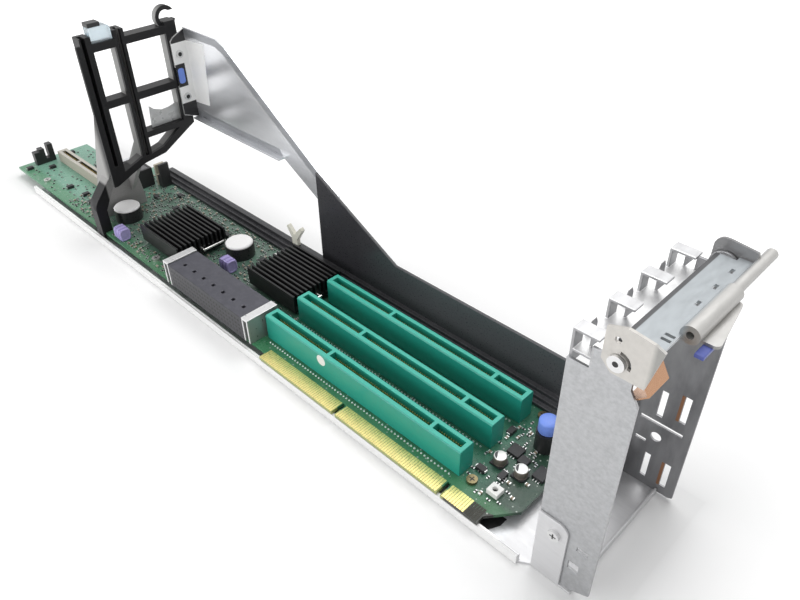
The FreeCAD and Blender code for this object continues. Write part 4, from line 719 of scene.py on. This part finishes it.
# kinds of strewn part, in millimetres; then part of the board, spacing, number per square metre and seed
resistor = {"body": (1.1, 0.8, 0.5), "end": (0.4, 0.84, 0.54), "reach": 0.66, "margin": 1.0,
            "paint": "resistorBlack"}
capacitor = {"body": (1.2, 1.1, 0.9), "end": (0.45, 1.14, 0.94), "reach": 0.74, "margin": 1.2,
             "paint": "ceramicTan"}
diode = {"body": (4.2, 2.7, 2.0), "end": (0.7, 1.6, 1.0), "reach": 2.3, "margin": 3.0, "paint": "chipBlack"}
strewnParts = {
    "tailResistors": (resistor, "tail", 3.4, 30000, 11),
    "tailDiodes": (diode, "tail", 11.0, 4200, 8),
    "middleResistors": (resistor, "middle", 1.75, 190000, 12),
    "middleCapacitors": (capacitor, "middle", 2.7, 60000, 23),
    "middleDiodes": (diode, "middle", 12.0, 5000, 5),
    "slotResistors": (resistor, "slots", 5.0, 9000, 14),
    "endResistors": (resistor, "end", 1.9, 110000, 15),
    "endCapacitors": (capacitor, "end", 3.0, 50000, 27),
    "endDiodes": (diode, "end", 7.5, 16000, 6),
}
strewnTree = buildScatter()
for name, (part, area, spacing, density, seed) in strewnParts.items():
    lift = part["body"][2] / 2 * mm
    growPiece(name, strewnTree, {
        "Taken": takenObject, "Spacing": spacing * mm, "Density": density, "Seed": seed,
        "Margin": part["margin"] * mm, "Body": inMetres(part["body"]), "End": inMetres(part["end"]),
        "Reach": part["reach"] * mm, "Body Material": material[part["paint"]],
        "End Material": material["solderTin"]},
        base=rectanglesMesh(name + "Zone", [boardParts[area]], boardTop + lift))
bpy.data.objects.remove(takenObject)


# shapes made one by one

def finishMesh(name, work, finish, body):
    bmesh.ops.recalc_face_normals(work, faces=work.faces)
    mesh = meshFrom(name, work)
    mesh.materials.append(material[finish])
    for face in mesh.polygons:
        face.use_smooth = True
    piece = addObject(name, mesh)
    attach(piece, body)
    return piece


def lathe(work, profile, centre, sides):
    rings = []
    for radius, height in profile:
        angles = [2 * math.pi * step / sides for step in range(sides if radius > 0 else 1)]
        rings.append([work.verts.new((centre[0] + radius * math.cos(angle),
                                      centre[1] + radius * math.sin(angle), height)) for angle in angles])
    for lower, upper in zip(rings, rings[1:]):
        for step in range(sides):
            following = (step + 1) % sides
            ring = [lower[step % len(lower)], lower[following % len(lower)], upper[following % len(upper)],
                    upper[step % len(upper)]]
            ring = list(dict.fromkeys(ring))
            if len(ring) > 2:
                work.faces.new(ring)


# domed button on the release plunger
knob = {"dome": 1.6, "steps": 8, "lip": 0.6, "gap": 0.05, "bulge": 0.8, "sides": 40}


def makeKnob():
    low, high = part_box("plunger_knob")
    radius = (high.x - low.x) / 2
    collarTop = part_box("plunger_collar")[1].z
    foot = collarTop + knob["gap"] * mm
    dome = knob["dome"] * mm
    profile = [(0, foot), (radius - knob["lip"] * mm, foot), (radius, collarTop + knob["lip"] * mm)]
    for step in range(knob["steps"] + 1):
        angle = math.pi / 2 * step / knob["steps"]
        profile.append((radius * math.cos(angle) ** knob["bulge"] if step < knob["steps"] else 0,
                        high.z - dome + dome * math.sin(angle)))
    work = bmesh.new()
    lathe(work, profile, (low + high) / 2, knob["sides"])
    piece = finishMesh("plungerButton", work, "touchBlue", "plunger")
    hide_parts("plunger_knob")


makeKnob()


# flat plates set on at points: marks, dark plates of painted shade in recesses and cells, and strips
def buildStamp():
    tree, given, made = geometryTree(
        "stampedPlates", {"Shape": "Object", "Turn": "Vector", "Material": "Material"}, takesMesh=True)
    shape = addNode(tree, "GeometryNodeObjectInfo", {"Object": given["Shape"]})
    spread = setOn(tree, given["Base"], shape.outputs["Geometry"], Rotation=given["Turn"])
    endTree(tree, made[0], spread, given["Material"])
    return tree


stampTree = buildStamp()
plateTurn = {"up": (0, 0, 0), "front": (math.pi / 2, 0, 0), "rear": (-math.pi / 2, 0, 0),
             "right": (0, math.pi / 2, 0)}


def stamp(name, outline, spots, thick, facing, finish="markBlack", slot="chip_black"):
    work = bmesh.new()
    low, high = ([work.verts.new(inMetres((x, y, z))) for x, y in outline] for z in (0, thick))
    work.faces.new(high)
    work.faces.new(list(reversed(low)))
    for step in range(len(outline)):
        following = (step + 1) % len(outline)
        work.faces.new((low[step], low[following], high[following], high[step]))
    bmesh.ops.recalc_face_normals(work, faces=work.faces)
    shape = addObject(name + "Shape", meshFrom(name + "Shape", work))
    base = bpy.data.meshes.new(name + "Spots")
    base.from_pydata([inMetres(spot) for spot in spots], [], [])
    growPiece(name, stampTree, {
        "Shape": shape, "Turn": plateTurn[facing], "Material": material[finish]}, base=base)
    bpy.data.objects.remove(shape)


def discOutline(radius, start=0.0, sweep=360.0, steps=20):
    count = steps if sweep >= 360 else steps + 1
    angles = [math.radians(start + sweep * step / steps) for step in range(count)]
    return [(radius * math.cos(angle), radius * math.sin(angle)) for angle in angles]


def crossOutline(reach, half):
    quarter = [(reach, -half), (reach, half), (half, half)]
    angles = [turn * math.pi / 2 for turn in range(4)]
    return [(x * math.cos(angle) - y * math.sin(angle), x * math.sin(angle) + y * math.cos(angle))
            for angle in angles for x, y in quarter]


def squareOutline(width, height):
    return [(x * width / 2, y * height / 2) for x, y in ((-1, -1), (1, -1), (1, 1), (-1, 1))]


# a square with two cut corners
def footOutline(side, cut):
    half = side / 2
    return [(-half, -half), (half - cut, -half), (half, cut - half), (half, half - cut), (half - cut, half),
            (-half, half)]


# an outline given as height and depth, for a plate that faces right
def sideOutline(*points):
    return [(-height, depth) for height, depth in points]


# the middle of a node's box, set to a level along one axis
def middleAt(name, axis, level):
    spot = [(low + high) / 2 for low, high in zip(*corner[name])]
    spot[axis] = level
    return spot


def middleSpots(name, level):
    return [((x0 + x1) / 2 / mm, (y0 + y1) / 2 / mm, level) for x0, y0, x1, y1 in looseParts(name)]


def stayHeads():
    low, high = corner["stay_screws"]
    half = (high[1] - low[1]) / 2
    return [(high[0], low[1] + half, z) for z in (low[2] + half, high[2] - half)]


def cellSpots(columns, rows, margin, lift, rise):
    low, high = corner["backplane_connector"]
    pitch = (high[0] - low[0] - 2 * margin) / (columns - 1)
    return [(low[0] + margin + column * pitch, low[1], low[2] + lift + row * rise)
            for column in range(columns) for row in range(rows)]


def mouthOutline(name, wall):
    low, high = corner[name]
    return squareOutline(high[0] - low[0] - 2 * wall, high[1] - low[1] - 2 * wall)


# small capacitors: a can with a crimp above its base and a soft top edge
smallCan = {"radius": 2.9, "crimpLow": 1.0, "crimpHigh": 1.7, "crimpDepth": 0.28, "edge": 0.5, "edgeSteps": 4,
            "sides": 32}
canFeet = middleSpots("small_capacitors", boardTop / mm)


def makeSmallCans():
    work = bmesh.new()
    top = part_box("small_capacitors")[1].z
    radius, edge = smallCan["radius"] * mm, smallCan["edge"] * mm
    low, high = (boardTop + smallCan[part] * mm for part in ("crimpLow", "crimpHigh"))
    profile = [(0, boardTop), (radius, boardTop), (radius, low),
               (radius - smallCan["crimpDepth"] * mm, (low + high) / 2), (radius, high)]
    for step in range(smallCan["edgeSteps"] + 1):
        angle = math.pi / 2 * step / smallCan["edgeSteps"]
        profile.append((radius - edge + edge * math.cos(angle), top - edge + edge * math.sin(angle)))
    profile.append((0, top))
    for spot in canFeet:
        lathe(work, profile, inMetres(spot), smallCan["sides"])
    piece = finishMesh("smallCans", work, "smallCanSteel", "card")
    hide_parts("small_capacitors")


makeSmallCans()

# thin plates, in millimetres; looks and places that several share
# painted shade: dark discs for the pivots' recesses
pivotRecessShade = dict(outline=discOutline(radius=0.95), thick=0.03)
pivotFront, pivotRear = (point[1] for point in corner["latch_pivots"])
staySheet = 1.0
stayFront = dict(spots=[(0, corner["stay"][1][1] - staySheet, 0)], facing="front", slot="stay_steel")
stayRight = dict(spots=[(corner["stay"][0][0] + staySheet, 0, 0)], facing="right")
fold = dict(stayFront, thick=0.05, finish="foldSteel")
# painted shade: dark plates on the stay's ear
tabGapShade = dict(stayRight, thick=0.1, finish="frameBlack", slot="frame_black")
trayLeft, trayFront = corner["tray"][0][:2]
ventLeft, ventFront = corner["bracket_rear_wall"][0][:2]
depth = {"bore": 1.75, "plugWall": 1.5, "plugTop": 1.3, "darkPlateLevel": 1.02, "flap": 4.6, "strip": 16.8}

plates = {
    # cut-cornered feet and half-moon marks of the small capacitors
    "canFeet": dict(outline=footOutline(side=6.2, cut=1.1), spots=canFeet, thick=0.8, facing="up",
                    finish="chipBlack"),
    "capacitorMarks": dict(
        outline=discOutline(radius=2.35, start=150.0, sweep=120.0, steps=12),
        spots=middleSpots("small_capacitors", canTop), thick=0.03, facing="up", finish="canMark"),
    # painted shade: dark plates in the driver recesses of the screws and pivots
    "boardScrewRecesses": dict(
        outline=crossOutline(reach=1.35, half=0.28),
        spots=middleSpots("board_screws", corner["board_screws"][1][2]), thick=0.02, facing="up"),
    "tabScrewRecess": dict(
        outline=crossOutline(reach=1.3, half=0.28),
        spots=[middleAt("tab_screw", 1, corner["tab_screw"][0][1])], thick=0.02, facing="front"),
    "stayScrewRecesses": dict(outline=discOutline(radius=1.25), spots=stayHeads(), thick=0.03, facing="right"),
    "pivotRecessFront": dict(pivotRecessShade, spots=[middleAt("latch_pivots", 1, pivotFront)], facing="front"),
    "pivotRecessRear": dict(pivotRecessShade, spots=[middleAt("latch_pivots", 1, pivotRear)], facing="rear"),
    # painted shade: a dark plate at the bottom of the bore in the jumper block
    "jumperBore": dict(
        outline=discOutline(radius=1.15),
        spots=[middleAt("jumper_block", 2, corner["jumper_block"][1][2] - depth["bore"])],
        thick=0.02, facing="up"),
    # painted shade: dark plates for the contact cells in the front of the backplane connector
    "connectorCells": dict(
        outline=squareOutline(width=1.5, height=1.3),
        spots=cellSpots(columns=24, rows=4, margin=3.2, lift=3.0, rise=2.7), thick=0.02, facing="front",
        slot="connector_grey"),
    # plain round inspection label on the first slot
    "slotLabel": dict(
        outline=discOutline(radius=2.9, steps=32), spots=[(81.0, corner["slot_connector_1"][0][1], 17.6)],
        thick=0.06, facing="front", finish="labelWhite", slot="clip_ivory"),
    # plug that fills the mouth of the power header
    "headerPlug": dict(
        outline=mouthOutline("power_header", depth["plugWall"]),
        spots=[middleAt("power_header", 2, corner["power_header"][1][2] - depth["plugTop"])], thick=0.9,
        facing="up", finish="plugGrey"),
    # painted highlight: white flange and ear of the stay; painted shade: its darker folds, and dark plates
    # beside its screw tabs and at its touch pad
    "stayFlange": dict(stayFront, outline=[(-102.2, 74.5), (-86.4, 76.0), (-82.4, 113.3), (-102.2, 111.6)],
                       thick=0.06, finish="flangeWhite"),
    "stayEarFace": dict(
        stayRight, outline=sideOutline((76.0, 27.6), (76.0, 36.9), (111.6, 36.9), (111.6, 27.6)), thick=0.04,
        finish="flangeWhite", slot="stay_steel"),
    # painted shade: darker plates on the stay's hem and top fold
    "stayHem": dict(fold, outline=[(-101.2, 65.2), (-17.4, 65.2), (-21.0, 69.8), (-101.2, 69.8)]),
    "stayTopFold": dict(fold, outline=[
        (-101.2, 118.9), (-101.2, 114.6), (-70.2, 114.6), (-63.4, 112.0), (9.2, 62.6), (26.6, 53.8),
        (26.6, 58.2), (10.7, 66.8), (-61.3, 115.9), (-69.3, 118.9)]),
    # painted shade: dark plates at the touch pad and beside the screw tabs
    "touchPadWell": dict(tabGapShade, outline=sideOutline((86.0, 27.6), (86.0, 33.7), (99.4, 33.7), (99.4, 27.6))),
    "tabGapHigh": dict(tabGapShade, outline=sideOutline(
        (111.7, 27.6), (111.7, 36.9), (118.3, 36.9), (114.8, 29.5), (112.8, 27.6))),
    "tabGapLow": dict(tabGapShade, outline=sideOutline((69.2, 27.6), (65.7, 36.9), (75.9, 36.9), (75.9, 27.6))),
    # rolled front lip of the tray, painted lighter than the tray as a painted highlight
    "trayLip": dict(
        outline=[(trayLeft, 0.1), (205.5, 0.1), (205.5, 4.7), (trayLeft, 4.7)], spots=[(0, trayFront, 0)],
        thick=0.9, facing="front", finish="lipWhite", slot="tray_steel"),
    # dark plate on the tray, where the contact edge ends
    "edgeFilm": dict(
        outline=[(176.0, -36.7), (187.6, -36.7), (191.4, -29.0), (191.4, -25.0), (176.0, -25.0)],
        spots=[(0, 0, depth["darkPlateLevel"])], thick=0.1, facing="up", finish="frameBlack", slot="frame_black"),
    # clear flap on the low bar of the guide frame
    "clearFlap": dict(
        outline=sideOutline((66.0, 7.5), (66.0, 26.5), (76.5, 26.5), (75.0, 21.0), (74.6, 16.0), (76.5, 11.0),
                            (79.0, 8.4)),
        spots=[(corner["guide_frame"][1][0] - depth["flap"], 0, 0)], thick=0.8, facing="right",
        finish="flapClear", slot="retainer_clear"),
    # bronze strips beside the outer vents of the rear plate
    "ventStrips": dict(
        outline=squareOutline(width=1.2, height=13.0),
        spots=[(ventLeft + depth["strip"], ventFront, level) for level in (12.0, 49.0)], thick=0.12,
        facing="front", finish="stripBronze", slot="spring_copper"),
}
for name, plate in plates.items():
    stamp(name, **plate)

# solder legs of the small chips
legs = {"pitch": 1.27, "out": 0.9, "size": (0.42, 1.1, 0.3), "fewest": 2}
for number, (x0, y0, x1, y1) in enumerate(looseParts("small_chips"), 1):
    count = max(legs["fewest"], int((x1 - x0) / mm / legs["pitch"]) - 1)
    growPins("chipLegs%d" % number, squarePins, (count, 2),
             ((count - 1) * legs["pitch"] * mm, y1 - y0 + legs["out"] * mm),
             ((x0 + x1) / 2, (y0 + y1) / 2, boardTop + legs["size"][2] / 2 * mm), legs["size"], "solderTin")


# chokes: turns of lacquered wire round a core
def buildChoke():
    tree, given, made = geometryTree("woundChoke", {
        "Turns": "Int", "Pitch": "Float", "Depth": "Float", "Height": "Float", "Wire": "Float",
        "Bend": "Float", "Centre": "Vector", "Core": "Vector", "Material": "Material"})
    loop = addNode(tree, "GeometryNodeCurvePrimitiveQuadrilateral", {
        "Width": given["Depth"], "Height": given["Height"]})
    bend = addNode(tree, "GeometryNodeFilletCurve", {
        "Count": 4, "Curve": loop.outputs[0], "Radius": given["Bend"]}, mode="POLY")
    section = addNode(tree, "GeometryNodeCurvePrimitiveCircle", {"Resolution": 8, "Radius": given["Wire"]})
    wire = addNode(tree, "GeometryNodeCurveToMesh", {
        "Curve": bend.outputs[0], "Profile Curve": section.outputs[0]})
    upright = addNode(tree, "GeometryNodeTransform", {
        "Geometry": wire.outputs[0], "Rotation": (math.pi / 2, 0, math.pi / 2)})
    row = addNode(tree, "GeometryNodeMeshLine", {
        "Count": given["Turns"], "Offset": vectorOf(tree, X=given["Pitch"])})
    half = mathNode(tree, "MULTIPLY", mathNode(tree, "SUBTRACT", given["Turns"], 1.0), -0.5)
    start = vectorOf(tree, X=mathNode(tree, "MULTIPLY", half, given["Pitch"]))
    both = addNode(tree, "GeometryNodeJoinGeometry")
    feed(tree, both.inputs[0], moveBy(tree, setOn(tree, row.outputs[0], upright.outputs[0]), start))
    feed(tree, both.inputs[0], blockOf(tree, given["Core"]))
    endTree(tree, made[0], moveBy(tree, both.outputs[0], given["Centre"]), given["Material"])
    return tree


winding = {"turns": 6, "bend": 1.8, "coreGap": 0.35, "smoothArea": 2}
chokeTree = buildChoke()
for name in ("choke_1", "choke_2"):
    low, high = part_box(name)
    size = high - low
    wire = size.x / winding["turns"] / 2
    piece = growPiece(name.replace("_", "Winding"), chokeTree, {
        "Turns": winding["turns"], "Pitch": 2 * wire, "Depth": size.y - 2 * wire, "Height": size.z - 2 * wire,
        "Wire": wire, "Bend": winding["bend"] * mm, "Centre": (low + high) / 2,
        "Core": (size.x - wire, size.y - 2 * wire, size.z - 2 * winding["coreGap"] * mm),
        "Material": material["chokePurple"]})
    for face in piece.data.polygons:
        face.use_smooth = len(face.vertices) == 4 and face.area < winding["smoothArea"] * mm * mm
    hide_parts(name)
print("pieces done")

# floor, light and camera
studio = {"floor": (0.86, 0.86, 0.86), "floorSize": 12.0, "floorRough": 0.9, "floorGloss": 0.1,
          "floorGlow": 0.58, "glowReach": 0.35, "glowCurve": 0.5, "horizon": 0.34, "zenith": 0.68,
          "key": {"power": 8.5, "size": 0.9, "place": (0.05, 0.45, 1.3)},
          "fill": {"power": 8.5, "size": 0.9, "place": (-0.35, -1.5, 0.5)},
          "side": {"power": 3.0, "size": 0.7, "place": (-0.85, -0.95, 0.4)}}


# rays that show the white background: straight from the camera, or by way of metal and glass
def backgroundRays(tree):
    path = addNode(tree, "ShaderNodeLightPath").outputs
    seen = mathNode(tree, "ADD", path["Is Camera Ray"], path["Is Glossy Ray"], True)
    return mathNode(tree, "ADD", seen, path["Is Transmission Ray"], True)


# the floor's glow grows away from the object, so its shadow stays
def makeFloor():
    work = bmesh.new()
    bmesh.ops.create_grid(work, x_segments=1, y_segments=1, size=studio["floorSize"])
    mesh = meshFrom("studioFloor", work)
    tree, shader = startMaterial("floorPale")
    feedAll(tree, shader.inputs, {"Base Color": (*studio["floor"], 1), "Roughness": studio["floorRough"],
                                  "Specular IOR Level": studio["floorGloss"]})
    apart = vectorNode(tree, "ABSOLUTE", objectPlace(tree))
    past = vectorNode(tree, "MAXIMUM", vectorNode(tree, "SUBTRACT", apart, (*cadBox[1].xy, 0)))
    share = mathNode(tree, "DIVIDE", vectorNode(tree, "LENGTH", past), studio["glowReach"], True)
    share = mathNode(tree, "POWER", share, studio["glowCurve"])
    share = mathNode(tree, "MULTIPLY", share, studio["floorGlow"])
    glow = addNode(tree, "ShaderNodeEmission", {
        "Color": (1, 1, 1, 1), "Strength": mathNode(tree, "MULTIPLY", backgroundRays(tree), share)})
    both = addNode(tree, "ShaderNodeAddShader", {0: shader.outputs[0], 1: glow.outputs[0]})
    end = next(item for item in tree.nodes if item.type == "OUTPUT_MATERIAL")
    feed(tree, end.inputs["Surface"], both.outputs[0])
    mesh.materials.append(material["floorPale"])
    addObject("studioFloor", mesh)


def makeLamp(name, look):
    lamp = setAll(bpy.data.lights.new(name, "AREA"), energy=look["power"], shape="SQUARE", size=look["size"])
    aim = (-Vector(look["place"])).to_track_quat("-Z", "Y")
    setAll(addObject(name, lamp), location=look["place"], rotation_mode="QUATERNION", rotation_quaternion=aim,
           visible_camera=False)


def makeWorld():
    world = bpy.data.worlds.new("studioWorld")
    scene.world = world
    world.use_nodes = True
    tree = world.node_tree
    sky = addNode(tree, "ShaderNodeTexCoord").outputs["Generated"]
    height = addNode(tree, "ShaderNodeSeparateXYZ", {0: sky}).outputs["Z"]
    soft = rangeNode(tree, height, 0.0, 1.0, studio["horizon"], studio["zenith"])
    back = next(item for item in tree.nodes if item.type == "BACKGROUND")
    feedAll(tree, back.inputs, {"Color": (1, 1, 1, 1),
                                "Strength": rangeNode(tree, backgroundRays(tree), 0.0, 1.0, soft, 1.0)})


# camera fitted to the slots in the photograph
view = {"eye": (0.28725, -0.17927, 0.2474), "right": (0.714, 0.700, -0.012), "down": (0.419, -0.441, -0.794),
        "lens": 32.81, "sensor": 36.0, "near": 0.01}


def makeCamera():
    across = Vector(view["right"]).normalized()
    fall = Vector(view["down"])
    fall = (fall - across * fall.dot(across)).normalized()
    turn = Matrix((across, -fall, -across.cross(fall))).transposed().to_4x4()
    camera = setAll(bpy.data.cameras.new("camera"), lens=view["lens"], sensor_width=view["sensor"],
                    clip_start=view["near"])
    scene.camera = addObject("camera", camera)
    scene.camera.matrix_world = Matrix.Translation(Vector(view["eye"])) @ turn


makeFloor()
for name in ("key", "fill", "side"):
    makeLamp(name + "Lamp", studio[name])
makeWorld()
makeCamera()
print("stage set")
